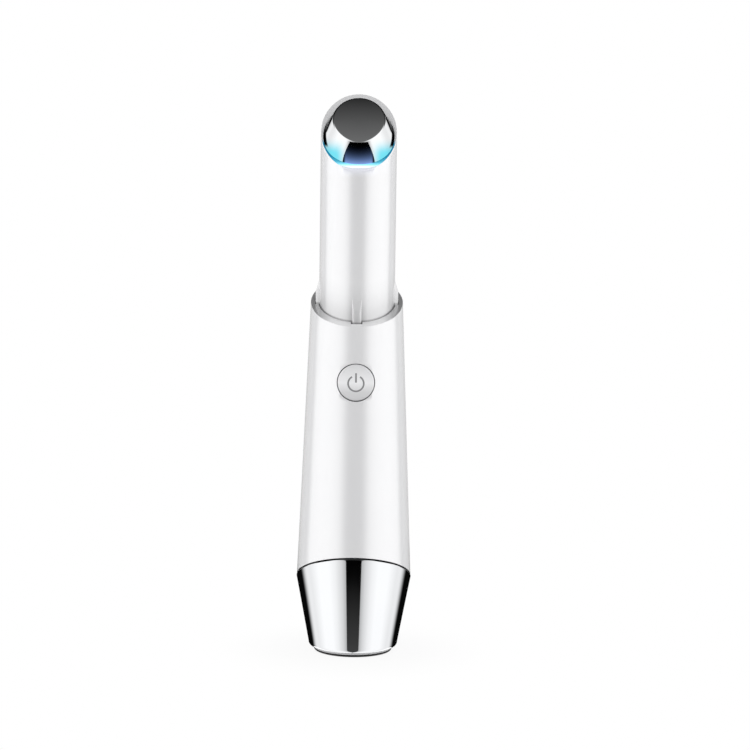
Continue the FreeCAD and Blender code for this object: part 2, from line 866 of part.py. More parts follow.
# ---------------------------------------------------------------- vibration motor
def make_motor():
    radius = cell("motor_radius")
    sleeve_radius = radius + cell("motor_sleeve_wall")
    mount_radius = sleeve_radius + cell("motor_mount_wall")
    ring = cell("motor_mount_ring")
    edge = neck_bore - fit_gap / 2
    can_top = motor_bottom + cell("motor_length")
    can_inner = radius - cell("motor_can_wall")
    can_roof = can_top - cell("motor_can_wall") * 2
    shaft_radius = cell("motor_shaft_radius")
    bearing = shaft_radius + cell("shaft_gap")

    mount = new_body("motor_mount")
    turn(mount, "mount_sleeve", (
        (sleeve_radius, motor_bottom),
        (edge, motor_bottom),
        (edge, motor_bottom + ring),
        (mount_radius, motor_bottom + ring),
        (mount_radius, mount_top - ring),
        (edge, mount_top - ring),
        (edge, mount_top),
        (sleeve_radius, mount_top),
    ))
    notch_width = cell("lead_radius") * 4
    notch = block(mount, "lead_notch", "SubtractiveBox", edge, notch_width, mount_top * 2,
                  x=mount_radius, y=-notch_width / 2, z=0)
    ring_of(mount, "lead_notches", notch, 4)
    finish(mount, "motor_mount")

    sleeve = new_body("motor_sleeve")
    turn(sleeve, "sleeve", (
        (radius, motor_bottom),
        (sleeve_radius, motor_bottom),
        (sleeve_radius, mount_top),
        (radius, mount_top),
    ))
    finish(sleeve, "motor_sleeve")

    can = new_body("motor_can")
    turn(can, "can", (
        (can_inner, motor_bottom),
        (radius, motor_bottom),
        (radius, can_top),
        (bearing, can_top),
        (bearing, can_roof),
        (can_inner, can_roof),
    ))
    finish(can, "motor_can")

    cap_top = motor_bottom + cell("motor_cap_thickness")
    hub_low = cap_top + cell("running_gap")
    hub_high = hub_low + cell("coil_hub_thickness")
    magnet_low = hub_high + cell("running_gap")
    coil_outer = can_inner - cell("running_gap")
    coil_inner = coil_outer - cell("coil_wall")

    cap = new_body("motor_end_cap")
    turn(cap, "end_cap", (
        (bearing, motor_bottom),
        (can_inner, motor_bottom),
        (can_inner, cap_top),
        (bearing, cap_top),
    ))
    finish(cap, "motor_end_cap")

    magnet = new_body("motor_magnet")
    turn(magnet, "magnet", (
        (bearing, magnet_low),
        (cell("magnet_radius"), magnet_low),
        (cell("magnet_radius"), can_roof),
        (bearing, can_roof),
    ))
    finish(magnet, "motor_magnet")

    weight_low = can_top + cell("weight_gap")
    weight_high = weight_low + cell("weight_length")
    shaft = new_body("motor_shaft")
    turn(shaft, "shaft", (
        (0, motor_bottom),
        (shaft_radius, motor_bottom),
        (shaft_radius, weight_high),
        (0, weight_high),
    ))
    finish(shaft, "motor_shaft")

    coil = new_body("motor_coil")
    turn(coil, "coil", (
        (shaft_radius, hub_low),
        (coil_outer, hub_low),
        (coil_outer, can_roof - cell("running_gap")),
        (coil_inner, can_roof - cell("running_gap")),
        (coil_inner, hub_high),
        (shaft_radius, hub_high),
    ))
    finish(coil, "motor_coil")

    # half disc that shakes the head as it spins
    weight = new_body("eccentric_weight")
    plan = new_sketch(weight, "weight_plan", "XY_Plane", weight_low)
    circle(plan, 0, 0, cell("weight_radius"))
    circle(plan, 0, 0, shaft_radius)
    pad(weight, "weight_disc", plan, cell("weight_length"))
    boss = shaft_radius * 2
    block(weight, "weight_flat", "SubtractiveBox", reach, reach, reach, x=-reach / 2, y=boss,
          z=weight_low - 1)
    finish(weight, "eccentric_weight")


# ---------------------------------------------------------------- button and switch
# Turned pieces of the button lie along Y; their profile is drawn upright and laid down.
def lay_forward(body):
    place(body, z=button_height, axis=(1, 0, 0), angle=90)


def make_button():
    body = new_body("power_button")
    front = button_skin + cell("button_proud")
    rim = front - cell("button_crown")
    sketch = new_sketch(body, "button_profile", "XZ_Plane")
    corners = (
        (0, front),
        (0, nub_rear),
        (cell("button_nub_radius"), nub_rear),
        (cell("button_nub_radius"), flange_rear),
        (flange_reach, flange_rear),
        (flange_reach, flange_front),
        (button_radius, flange_front),
        (button_radius, rim),
    )
    open_outline(sketch, corners)
    crown_arc(sketch, len(corners) - 2, button_radius, rim, front)
    item = body.newObject("PartDesign::Revolution", "button_turned")
    item.Profile = sketch
    item.ReferenceAxis = (sketch, ["V_Axis"])
    item.Angle = 360
    lay_forward(body)
    return finish(body, "power_button")


# Arc that domes the button from the end of the last line back to the first corner.
def crown_arc(sketch, last_line, half, low, high):
    rise = float(high) - float(low)
    radius = (float(half) ** 2 + rise ** 2) / (2 * rise)
    centre = Vector(0, float(high) - radius, 0)
    start = math.atan2(float(low) - centre.y, float(half))
    dome = Part.ArcOfCircle(Part.Circle(centre, Vector(0, 0, 1), radius), start, math.pi / 2)
    index = sketch.addGeometry(dome)
    sketch.addConstraint(Sketcher.Constraint("Coincident", index, 1, last_line, 2))
    sketch.addConstraint(Sketcher.Constraint("Coincident", index, 2, 0, 1))
    sketch.addConstraint(Sketcher.Constraint("PointOnObject", index, 3, -2))


def make_switch():
    body = new_body("switch_body")
    half = cell("switch_width") / 2
    rear = board_front
    plan = new_sketch(body, "switch_plan", "XY_Plane", rear)
    rectangle(plan, -half, -half, half, half)
    pad(body, "switch_case", plan, switch_front - rear)
    bore = new_sketch(body, "plunger_bore_plan", "XY_Plane", switch_front)
    circle(bore, 0, 0, cell("plunger_radius") + fit_gap)
    stroke = cell("plunger_length") - cell("plunger_proud") + cell("button_travel") * 2
    pocket(body, "plunger_bore", bore, stroke)
    lay_forward(body)
    finish(body, "switch_body")

    plunger = new_body("switch_plunger")
    turn(plunger, "plunger", (
        (0, plunger_front - cell("plunger_length")),
        (cell("plunger_radius"), plunger_front - cell("plunger_length")),
        (cell("plunger_radius"), plunger_front),
        (0, plunger_front),
    ))
    lay_forward(plunger)
    finish(plunger, "switch_plunger")


# ---------------------------------------------------------------- frame, board and cell
def make_inner_frame():
    body = new_body("inner_frame")
    foot_plan = new_sketch(body, "frame_foot_plan", "XY_Plane", frame_bottom)
    foot_reach = plug_front(frame_bottom) - cell("plug_wall") - cell("running_gap")
    circle(foot_plan, 0, 0, foot_reach)
    pad(body, "frame_foot", foot_plan, cell("frame_plate"))

    channel = new_sketch(body, "channel_plan", "XY_Plane", frame_floor)
    channel_section(channel)
    pad(body, "channel", channel, frame_top - frame_floor)

    top = new_sketch(body, "frame_top_plan", "XY_Plane", frame_top)
    circle(top, 0, 0, shell_radius(flange_bottom) - body_wall - fit_gap * 2)
    circle(top, 0, 0, upper_bore / 2)
    pad(body, "frame_top", top, cell("frame_plate"))

    window = new_sketch(body, "window_plan", "YZ_Plane")
    for number in range(2):
        share = cell("window_start") + cell("window_pitch") * number
        low = cell_bottom + cell("cell_length") * share
        high = low + cell("cell_length") * cell("window_share")
        rectangle(window, cell_middle - cell_radius / 2, low, cell_middle + cell_radius / 4, high)
    pocket(body, "windows", window, reach, symmetric=True)

    for number, side in enumerate((-1, 1)):
        spot = cell("post_offset") * side
        rod(body, "foot_screw_hole_%d" % (number + 1), "SubtractiveCylinder",
            cell("screw_radius"), cell("frame_plate") * 3, x=spot, z=frame_bottom - 1)
        spot = neck_screw_offset() * side
        rod(body, "top_screw_hole_%d" % (number + 1), "SubtractiveCylinder",
            cell("screw_radius"), cell("frame_plate") * 2, x=spot, z=frame_top - 1)
    slot_width = cell("lead_radius") * 6
    block(body, "lead_slot", "SubtractiveBox", slot_width, reach, cell("frame_plate") * 2,
          x=-slot_width / 2, y=board_rear_y() - reach, z=frame_bottom - 1)
    return finish(body, "inner_frame")


def board_rear_y():
    return -board_rear


def neck_screw_offset():
    return (neck_bore + flange_radius) / 2


# How far the neck's screws reach into its flange.
def neck_screw_bite():
    return cell("neck_flange_thickness") * cell("screw_bite_share")


# U-shaped section that wraps the cell and opens to the front.
def channel_section(sketch):
    front = float(board_rear_y())
    middle = float(cell_middle)
    outer = float(channel_outer)
    inner = float(channel_inner)
    centre = Vector(0, middle, 0)
    up = Vector(0, 0, 1)
    back_outer = sketch.addGeometry(Part.ArcOfCircle(Part.Circle(centre, up, outer), 0, math.pi))
    left_outer = sketch.addGeometry(
        Part.LineSegment(Vector(-outer, middle, 0), Vector(-outer, front, 0)))
    left_tip = sketch.addGeometry(
        Part.LineSegment(Vector(-outer, front, 0), Vector(-inner, front, 0)))
    left_inner = sketch.addGeometry(
        Part.LineSegment(Vector(-inner, front, 0), Vector(-inner, middle, 0)))
    back_inner = sketch.addGeometry(Part.ArcOfCircle(Part.Circle(centre, up, inner), 0, math.pi))
    right_inner = sketch.addGeometry(
        Part.LineSegment(Vector(inner, middle, 0), Vector(inner, front, 0)))
    right_tip = sketch.addGeometry(
        Part.LineSegment(Vector(inner, front, 0), Vector(outer, front, 0)))
    right_outer = sketch.addGeometry(
        Part.LineSegment(Vector(outer, front, 0), Vector(outer, middle, 0)))
    for first, first_end, second, second_end in (
        (back_outer, 2, left_outer, 1),
        (left_outer, 2, left_tip, 1),
        (left_tip, 2, left_inner, 1),
        (left_inner, 2, back_inner, 2),
        (back_inner, 1, right_inner, 1),
        (right_inner, 2, right_tip, 1),
        (right_tip, 2, right_outer, 1),
        (right_outer, 2, back_outer, 1),
    ):
        rule = Sketcher.Constraint("Coincident", first, first_end, second, second_end)
        sketch.addConstraint(rule)
    fix_point(sketch, back_outer, 3, 0, cell_middle)
    fix_point(sketch, back_inner, 3, 0, cell_middle)
    for line, corner, x, y in (
        (left_outer, 1, -channel_outer, cell_middle),
        (left_outer, 2, -channel_outer, board_rear_y()),
        (left_inner, 1, -channel_inner, board_rear_y()),
        (left_inner, 2, -channel_inner, cell_middle),
        (right_inner, 1, None, cell_middle),
        (right_inner, 2, channel_inner, board_rear_y()),
        (right_outer, 1, channel_outer, board_rear_y()),
        (right_outer, 2, None, cell_middle),
    ):
        fix_point(sketch, line, corner, x, y)
    return sketch


def make_cell():
    body = new_body("battery_cell")
    neck = cell("cell_cap_radius")
    groove = cell("cell_groove")
    shoulder = cell_top - groove * 2
    turn(body, "cell_can", (
        (0, cell_bottom),
        (cell_radius, cell_bottom),
        (cell_radius, shoulder - groove * 8),
        (cell_radius - groove, shoulder - groove * 7),
        (cell_radius, shoulder - groove * 6),
        (cell_radius, shoulder),
        (neck, shoulder),
        (neck, cell_top),
        (0, cell_top),
    ))
    place(body, y=cell_middle)
    finish(body, "battery_cell")

    pad_body = new_body("cell_foam")
    plan = new_sketch(pad_body, "foam_plan", "XY_Plane", frame_floor)
    circle(plan, 0, 0, cell_radius - cell("foam_thickness"))
    pad(pad_body, "foam", plan, cell("foam_thickness"))
    place(pad_body, y=cell_middle)
    finish(pad_body, "cell_foam")

    # strip of foam between the cell and the back of the board
    strip = block(None, "strip_blank", "Part::Box", cell_radius, cell_middle - board_rear_y(),
                  cell("cell_length") / 2, x=-cell_radius / 2, y=board_rear_y(),
                  z=cell_bottom + cell("cell_length") / 4)
    hollow = rod(None, "strip_hollow", "Part::Cylinder", channel_inner, cell("cell_length"),
                 y=cell_middle, z=cell_bottom)
    finish(cut("foam_strip", strip, hollow), "foam_strip")


def make_board():
    half = cell("board_width") / 2
    body = new_body("main_board")
    plan = new_sketch(body, "board_plan", "XZ_Plane", -board_rear_y())
    rectangle(plan, -half, cell("board_bottom"), half, frame_top - cell("board_gap"))
    pad(body, "board", plan, cell("board_thickness"))
    finish(body, "main_board")

    chip = cell("control_chip_side")
    charger = cell("charge_chip_side")
    coil = cell("power_coil_side")
    length = cell("lead_socket_length")
    rise = cell("lead_socket_height")
    row = cell("charge_row_level")
    for label, wide, long, high, across, level in (
        ("control_chip", chip, chip, cell("control_chip_height"), 0, cell("control_chip_level")),
        ("charge_chip", charger, charger, cell("charge_chip_height"),
         cell("charge_chip_across"), row),
        ("power_coil", coil, coil, cell("power_coil_height"), cell("power_coil_across"), row),
        ("head_socket", cell("head_socket_width"), length, rise, 0, cell("head_socket_level")),
        ("cell_socket", cell("cell_socket_width"), length, rise, 0, cell("cell_socket_level")),
    ):
        part = block(None, label, "Part::Box", wide, high, long, x=across - wide / 2,
                     y=-board_front - high, z=cell("board_bottom") + level - long / 2)
        finish(part, label)


# ---------------------------------------------------------------- base
def make_base_plug():
    body = new_body("base_plug")
    wall = cell("plug_wall")
    top_radius = shell_radius(plug_top) - body_wall - fit_gap
    base_loft(body, "plug_outside", "AdditiveLoft", (
        (cover_floor_top, plug_foot_radius(), False),
        (seam_height, seam_bore, True),
        (plug_top, top_radius, False),
    ))
    base_loft(body, "plug_inside", "SubtractiveLoft", (
        (plug_floor_top, plug_foot_radius() - wall, False),
        (seam_height, seam_bore - wall, True),
        (plug_top, top_radius - wall, False),
    ))
    post_height = frame_bottom - cover_floor_top
    for number, side in enumerate((-1, 1)):
        rod(body, "post_%d" % (number + 1), "AdditiveCylinder", cell("post_radius"), post_height,
            x=cell("post_offset") * side, z=cover_floor_top)
    stud = charge_board_bottom() - cover_floor_top
    for side_x in (-1, 1):
        for side_y in (-1, 1):
            rod(body, "board_stud", "AdditiveCylinder", cell("screw_radius"), stud,
                x=(cell("charge_board_half_width") - cell("screw_radius")) * side_x,
                y=(cell("charge_board_half_length") - cell("screw_radius")) * side_y,
                z=cover_floor_top)
    seat = base_screw_seat()
    for number, side in enumerate((-1, 1)):
        spot = cell("post_offset") * side
        rod(body, "screw_way_%d" % (number + 1), "SubtractiveCylinder",
            cell("screw_head_radius") + fit_gap, seat - cover_floor_top + 1,
            x=spot, z=cover_floor_top - 1)
        rod(body, "screw_bore_%d" % (number + 1), "SubtractiveCylinder",
            cell("screw_radius") + fit_gap, reach / 2, x=spot, z=cover_floor_top)
    slot = new_sketch(body, "plug_slot_plan", "XY_Plane", cover_floor_top)
    socket_plan(slot, cell("socket_gap"))
    pocket(body, "plug_slot", slot, cell("plug_floor"), reverse=True)
    return finish(body, "base_plug")


def base_screw_seat():
    return frame_bottom + cell("screw_head_height") * 2 - cell("screw_length")


def charge_board_bottom():
    return cell("charge_board_height")


# Outline of the charging socket, grown by the given gap.
def socket_plan(sketch, gap):
    half_x = cell("socket_width") / 2 + gap
    half_y = cell("socket_thickness") / 2 + gap
    return rectangle(sketch, -half_x, -half_y, half_x, half_y)


def make_base_cover():
    body = new_body("base_cover")
    wall = cell("cover_wall")
    edge = seam_height - half_gasket()
    bottom = cell("cover_bottom_radius")
    corner = cell("cover_edge_round")
    rounding = []
    for degrees in (0, 30, 60, 90):
        swing = math.radians(degrees)
        height = foot_step + corner * (1 - math.cos(swing))
        rounding.append((height, bottom - corner * (1 - math.sin(swing)), False))
    base_loft(body, "cover_outside", "AdditiveLoft",
              rounding + [(edge, cell("seam_radius"), True)])
    base_loft(body, "cover_inside", "SubtractiveLoft", (
        (cover_floor_top, bottom - wall, False),
        (edge, cell("seam_radius") - wall, True),
    ))
    rod(body, "foot_hole", "SubtractiveCylinder", cell("foot_radius") + fit_gap, seam_height)
    return finish(body, "base_cover")


# Thin black gasket in the slanted seam between cover and handle.
def make_base_gasket():
    body = new_body("base_gasket")
    plan = new_sketch(body, "gasket_plan", "XY_Plane", seam_height, -seam_angle)
    seam_section(plan, shell_seam_radius - fit_gap / 2)
    seam_section(plan, seam_bore + fit_gap)
    pad(body, "gasket", plan, cell("gasket_thickness"), symmetric=True)
    return finish(body, "base_gasket")


def make_foot_plate():
    body = new_body("foot_plate")
    radius = cell("foot_radius")
    turn(body, "foot_disc", (
        (0, 0),
        (radius - cell("foot_edge"), 0),
        (radius, cell("foot_edge")),
        (radius, cover_floor_top),
        (0, cover_floor_top),
    ))
    slot = new_sketch(body, "foot_slot_plan", "XY_Plane")
    socket_plan(slot, cell("socket_gap"))
    pocket(body, "foot_slot", slot, cover_floor_top, reverse=True)
    return finish(body, "foot_plate")


def make_charging():
    board = new_body("charge_board")
    plan = new_sketch(board, "charge_board_plan", "XY_Plane", charge_board_bottom())
    rectangle(plan, -cell("charge_board_half_width"), -cell("charge_board_half_length"),
              cell("charge_board_half_width"), cell("charge_board_half_length"))
    pad(board, "charge_board", plan, cell("charge_board_thickness"))
    finish(board, "charge_board")

    shell = new_body("socket_shell")
    inset = cell("socket_inset")
    depth = charge_board_bottom() - inset
    plan = new_sketch(shell, "socket_outside", "XY_Plane", inset)
    socket_plan(plan, 0)
    socket_plan(plan, -cell("socket_wall"))
    pad(shell, "socket_wall", plan, depth)
    finish(shell, "socket_shell")

    tongue = new_body("socket_tongue")
    back = depth / 4
    plan = new_sketch(tongue, "tongue_block_plan", "XY_Plane", charge_board_bottom() - back)
    socket_plan(plan, -cell("socket_wall"))
    pad(tongue, "tongue_block", plan, back)
    blade = new_sketch(tongue, "tongue_plan", "XY_Plane", inset * 3)
    inside = cell("socket_width") / 2 - cell("socket_wall") * 3
    rectangle(blade, -inside, -cell("socket_wall"), inside, cell("socket_wall"))
    pad(tongue, "tongue", blade, charge_board_bottom() - back - inset * 3)
    finish(tongue, "socket_tongue")


# Pan-head screw: head below, shank up.
def screw(label, x, seat, shank):
    body = new_body(label)
    head = cell("screw_head_height")
    points = (
        (0, -head),
        (cell("screw_head_radius"), -head),
        (cell("screw_head_radius"), 0),
        (cell("screw_radius"), 0),
        (cell("screw_radius"), shank),
        (0, shank),
    )
    turn(body, label + "_turned", points)
    place(body, x=x, z=seat)
    return finish(body, label)


def make_screws():
    for number, side in enumerate((-1, 1)):
        seat = base_screw_seat()
        screw("base_screw_%d" % (number + 1), cell("post_offset") * side, seat,
              frame_floor - seat)
        screw("neck_screw_%d" % (number + 1), neck_screw_offset() * side, frame_top,
              cell("frame_plate") + neck_screw_bite())


# ---------------------------------------------------------------- leads
# Route of a lead: straight runs joined by tangent arcs as large as the runs allow.
def lead_path(points):
    arc_share = 0.45
    edges = []
    radii = []
    start = points[0]
    for number in range(1, len(points) - 1):
        corner = points[number]
        back = points[number - 1] - corner
        ahead = points[number + 1] - corner
        turn_angle = math.pi - back.getAngle(ahead)
        shorter = min(back.Length, ahead.Length)
        reach_back = shorter * arc_share
        radii.append(reach_back / math.tan(turn_angle / 2))
        entry = corner + back.normalize() * reach_back
        leave = corner + ahead.normalize() * reach_back
        inward = (entry + leave) * 0.5 - corner
        bow = radii[-1] / math.cos(turn_angle / 2) - radii[-1]
        middle = corner + inward.normalize() * bow
        edges.append(Part.LineSegment(start, entry).toShape())
        edges.append(Part.Arc(entry, middle, leave).toShape())
        start = leave
    edges.append(Part.LineSegment(start, points[-1]).toShape())
    return Part.Wire(edges), radii


def lead(label, points):
    path, radii = lead_path([Vector(*[float(value) for value in point]) for point in points])
    radius = float(cell("lead_radius"))
    first = path.Edges[0]
    circle_edge = Part.makeCircle(radius, path.Vertexes[0].Point, first.tangentAt(first.FirstParameter))
    item = doc.addObject("Part::Feature", label)
    item.Shape = path.makePipeShell([Part.Wire(circle_edge)], True, True)
    item.Placement = FreeCAD.Placement()
    volume = math.pi * radius ** 2 * path.Length
    print("%s: radii %s, volume %.3f of %.3f" % (
        label, ", ".join("%.1f" % found for found in radii), item.Shape.Volume, volume))
    return finish(item, label)


def make_leads():
    board = board_rear_y()
    above_cell = cell_top + (frame_top - cell_top) / 2
    bend = cell("motor_radius")
    lamp_x = lamp_board_half_width() - cell("lamp_board_bore") - cell("lead_radius") * 2
    lamp_z = face_height - depth_to_seal() * root_of(size(2)) - cell("lead_radius")
    notch_x = neck_bore - cell("lead_radius") * 3
    side = upper_bore / 4
    lead("head_lead", (
        (lamp_x, 0, lamp_z),
        (lamp_x, 0, lamp_z - bend * 2),
        (notch_x, 0, mount_top + bend),
        (notch_x, 0, motor_bottom - bend),
        (side, -side, flange_bottom + bend),
        (side, -side, above_cell),
        (side, board, above_cell),
    ))
    lead("motor_lead", (
        (-side, side, motor_bottom),
        (-side, side, motor_bottom - bend),
        (-side, -side, frame_top + bend),
        (-side, -side, above_cell),
        (-side, board, above_cell),
    ))
    lead("cell_lead", (
        (0, cell_middle, cell_top),
        (0, cell_middle, above_cell),
        (0, board, above_cell),
    ))
    socket_y = -board_front - cell("lead_radius") * 2
    charge_y = -cell("post_radius") * 2
    lead("charge_lead", (
        (0, charge_y, charge_board_bottom() + cell("charge_board_thickness")),
        (0, charge_y, frame_bottom / 2),
        (0, socket_y, frame_bottom),
        (0, socket_y, cell("board_bottom") + cell("lead_radius") * 4),
    ))


make_body_shell()
make_neck_tube()
make_massage_head()
make_light_ring()
make_head_seal()
make_lamp_board()
make_lamps()
make_heater()
make_motor()
make_button()
make_switch()
make_inner_frame()
make_cell()
make_board()
make_base_plug()
make_base_cover()
make_base_gasket()
make_foot_plate()
make_charging()
make_screws()
make_leads()

doc.recompute()
for item in doc.Objects:
    if "Invalid" in item.State or "Error" in item.State:
        raise RuntimeError("%s did not build: %s" % (item.Label, item.State))
for item in nodes:
    if item.Shape.isNull() or not item.Shape.isValid():
        raise RuntimeError("%s has no valid shape" % item.Label)

os.makedirs("parts", exist_ok=True)
for item in nodes:
    item.Shape.exportStep(os.path.join("parts", item.Label + ".step"))
    box = item.Shape.BoundBox
    print("%-18s %d solid, %.2f mm3, z %.2f to %.2f" % (
        item.Label, len(item.Shape.Solids), item.Shape.Volume, box.ZMin, box.ZMax))
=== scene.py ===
import json
import math

import bmesh
import bpy
from mathutils import Matrix, Vector


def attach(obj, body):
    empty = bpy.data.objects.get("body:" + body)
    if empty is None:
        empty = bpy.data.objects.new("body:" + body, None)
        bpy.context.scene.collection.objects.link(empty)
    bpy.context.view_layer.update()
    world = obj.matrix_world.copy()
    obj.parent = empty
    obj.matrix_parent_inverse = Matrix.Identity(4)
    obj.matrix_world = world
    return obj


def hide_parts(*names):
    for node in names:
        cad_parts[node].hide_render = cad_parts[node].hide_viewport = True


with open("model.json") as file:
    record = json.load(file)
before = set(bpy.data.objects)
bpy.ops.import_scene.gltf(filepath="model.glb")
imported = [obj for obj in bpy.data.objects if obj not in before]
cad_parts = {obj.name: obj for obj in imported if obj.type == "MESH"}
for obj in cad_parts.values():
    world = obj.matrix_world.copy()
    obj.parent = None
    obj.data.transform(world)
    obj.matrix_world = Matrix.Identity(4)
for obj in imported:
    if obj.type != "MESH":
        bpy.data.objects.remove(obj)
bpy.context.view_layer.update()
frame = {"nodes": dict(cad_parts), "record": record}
nodes = frame["nodes"]
print("frame loaded")

mm = 0.001
tiny = 0.0005 * mm
ringSegments = 256
# a slant that gives every corner a place of its own in a row, for sorting
oblique = Vector((0.7391, 0.5327, 0.3119))
# planes that lean about X: the neck's slanted face and the collar's top; in mm and degrees
face = {"height": 153.4, "angle": 45}
collar = {"height": 104, "angle": 25}
# heights that clear the slanted face both ways, for upright cutters
clearOfFace = (120, 180)


# ---- small helpers for shapes

# turns a profile of (radius, height) points about Z; returns the ring that each point draws,
# each in order of its angle
def turnProfile(bm, points, closed=False):
    start = [bm.verts.new((radius * mm, 0, height * mm)) for radius, height in points]
    ends = start[1:] + start[:1] if closed else start[1:]
    chain = [bm.edges.new(pair) for pair in zip(start, ends)]
    bmesh.ops.spin(bm, geom=start + chain, cent=(0, 0, 0), axis=(0, 0, 1),
                   angle=2 * math.pi, steps=ringSegments, use_merge=True)
    return [sorted((v for v in bm.verts if abs(v.co.xy.length - radius * mm) < tiny
                    and abs(v.co.z - height * mm) < tiny), key=angleStep)
            for radius, height in points]


def angleStep(v):
    return round(math.atan2(v.co.y, v.co.x) * ringSegments / (2 * math.pi)) % ringSegments


# shares of the way for evenly spaced rows, with finer ones next to the ends
def rowShares(count, *nearEnds):
    return sorted([step / count for step in range(1, count)] + list(nearEnds))


# points between two points of a profile, at the given shares of the way
def pointsBetween(first, last, shares):
    return [tuple(a + (b - a) * share for a, b in zip(first, last)) for share in shares]


# lays rings back on the straight lines between two rings that have been moved
def layBetween(rings, first, last, shares):
    for moved, share in zip(rings, shares):
        for v, a, b in zip(moved, first, last):
            v.co = a.co.lerp(b.co, share)


# each edge once and in the ring's order, so that every run builds the same mesh
def edgesOf(ring):
    chosen = set(ring)
    return list(dict.fromkeys(
        e for v in ring for e in v.link_edges if e.other_vert(v) in chosen))


def capRing(bm, ring):
    bmesh.ops.edgeloop_fill(bm, edges=edgesOf(ring))


# makes an ellipse of a ring that was turned with the half width as its radius; a fullness
# above 2 squares its front half a little
def stretchRing(ring, halfWidth, halfLength, shift=0, fullness=2):
    for v in ring:
        across, along = abs(v.co.x) / halfWidth / mm, abs(v.co.y) / halfWidth / mm
        if v.co.y < 0:
            grow = (across ** fullness + along ** fullness) ** (-1 / fullness)
            v.co.x, v.co.y = v.co.x * grow, v.co.y * grow
        v.co.y = v.co.y * halfLength / halfWidth + shift * mm


# slides a ring along its cone, or straight up a tube, onto a plane that leans about X
def slideToPlane(ring, height, angle, apex=None):
    lean = math.tan(math.radians(angle))
    for v in ring:
        if apex is None:
            v.co.z = height * mm + v.co.y * lean
        else:
            top = Vector((0, 0, apex * mm))
            ray = v.co - top
            v.co = top + ray * ((height * mm - top.z) / (ray.z - v.co.y * lean))


def roundEdges(bm, edges, radius, steps=3):
    bmesh.ops.bevel(bm, geom=edges, offset=radius * mm, offset_type="OFFSET", segments=steps,
                    profile=0.5, affect="EDGES", clamp_overlap=True, material=-1)


def moveAll(bm, matrix):
    bmesh.ops.transform(bm, matrix=matrix, verts=bm.verts)


# bevel leaves its corners and faces in another order on each run, so they are put in one
def sortMesh(bm):
    bm.verts.sort(key=lambda v: v.co.dot(oblique))
    bm.edges.sort(key=lambda e: (e.verts[0].co + e.verts[1].co).dot(oblique))
    bm.faces.sort(key=lambda f: f.calc_center_median().dot(oblique))


def toObject(bm, name):
    bmesh.ops.remove_doubles(bm, verts=bm.verts, dist=tiny)
    sortMesh(bm)
    bm.normal_update()
    bmesh.ops.recalc_face_normals(bm, faces=bm.faces)
    mesh = bpy.data.meshes.new(name)
    bm.to_mesh(mesh)
    bm.free()
    piece = bpy.data.objects.new(name, mesh)
    bpy.context.scene.collection.objects.link(piece)
    return piece


def makeRod(name, radius, low, high, place=Matrix()):
    bm = bmesh.new()
    bottom, top = turnProfile(bm, [(radius, low), (radius, high)])
    capRing(bm, bottom)
    capRing(bm, top)
    moveAll(bm, place)
    return toObject(bm, name)


def makeBlock(name, sizes, centre, turned):
    bm = bmesh.new()
    bmesh.ops.create_cube(bm, size=mm)
    bmesh.ops.scale(bm, verts=bm.verts, vec=sizes)
    moveAll(bm, Matrix.Rotation(math.radians(turned), 4, "Z")
            @ Matrix.Translation(Vector(centre) * mm))
    return toObject(bm, name)


# cuts the second shape out of the first, adds it, or keeps what both share
def carve(piece, cutter, operation="DIFFERENCE"):
    cutting = piece.modifiers.new("carve", "BOOLEAN")
    cutting.object = cutter
    cutting.operation = operation
    cutting.solver = "EXACT"
    bpy.context.view_layer.update()
    ready = piece.evaluated_get(bpy.context.evaluated_depsgraph_get())
    carved = bpy.data.meshes.new_from_object(ready)
    piece.modifiers.clear()
    piece.data = carved
    bpy.data.objects.remove(cutter)


# smooth shading with sharp corners, a material, and the body that the piece moves with
def dressPiece(piece, body, material, replaced=(), sharpAngle=30):
    for polygon in piece.data.polygons:
        polygon.use_smooth = True
    piece.data.set_sharp_from_angle(angle=math.radians(sharpAngle))
    piece.data.materials.clear()
    piece.data.materials.append(material)
    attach(piece, body)
    if replaced:
        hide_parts(*replaced)


# ---- small helpers for materials

# an sRGB hex colour as the linear values that the sockets take
def linear(hexColour):
    parts = [int(hexColour[i:i + 2], 16) / 255 for i in (1, 3, 5)]
    return [c / 12.92 if c <= 0.04045 else ((c + 0.055) / 1.055) ** 2.4 for c in parts] + [1]


def grey(level):
    return (level, level, level, 1)


# adds a node with its settings, its inputs set or linked, and a ramp's shares and colours
def addNode(tree, kind, settings=None, inputs=None, stops=()):
    node = tree.nodes.new("ShaderNode" + kind)
    for name, value in (settings or {}).items():
        setattr(node, name, value)
    for name, value in (inputs or {}).items():
        if isinstance(value, bpy.types.NodeSocket):
            tree.links.new(value, node.inputs[name])
        else:
            node.inputs[name].default_value = value
    if stops:
        elements = node.color_ramp.elements
        while len(elements) < len(stops):
            elements.new(0.5)
        for element, (share, colour) in zip(elements, stops):
            element.position, element.color = share, colour
    return node


def newMaterial(name, inputs):
    material = bpy.data.materials.new(name)
    material.use_nodes = True
    tree = material.node_tree
    shader = tree.nodes["Principled BSDF"]
    for socket, value in inputs.items():
        shader.inputs[socket].default_value = value
    return material, tree, shader


# where a point is on the part, in metres: along an axis, up, out from the middle to a side, or
# off a plane that leans about X
def along(tree, axis):
    place = addNode(tree, "TexCoord")
    return addNode(tree, "SeparateXYZ", inputs={"Vector": place.outputs["Object"]}).outputs[axis]


def heightOf(tree):
    return along(tree, "Z")


def awayFromMiddle(tree):
    return addNode(tree, "Math", {"operation": "ABSOLUTE"}, {0: along(tree, "X")}).outputs[0]


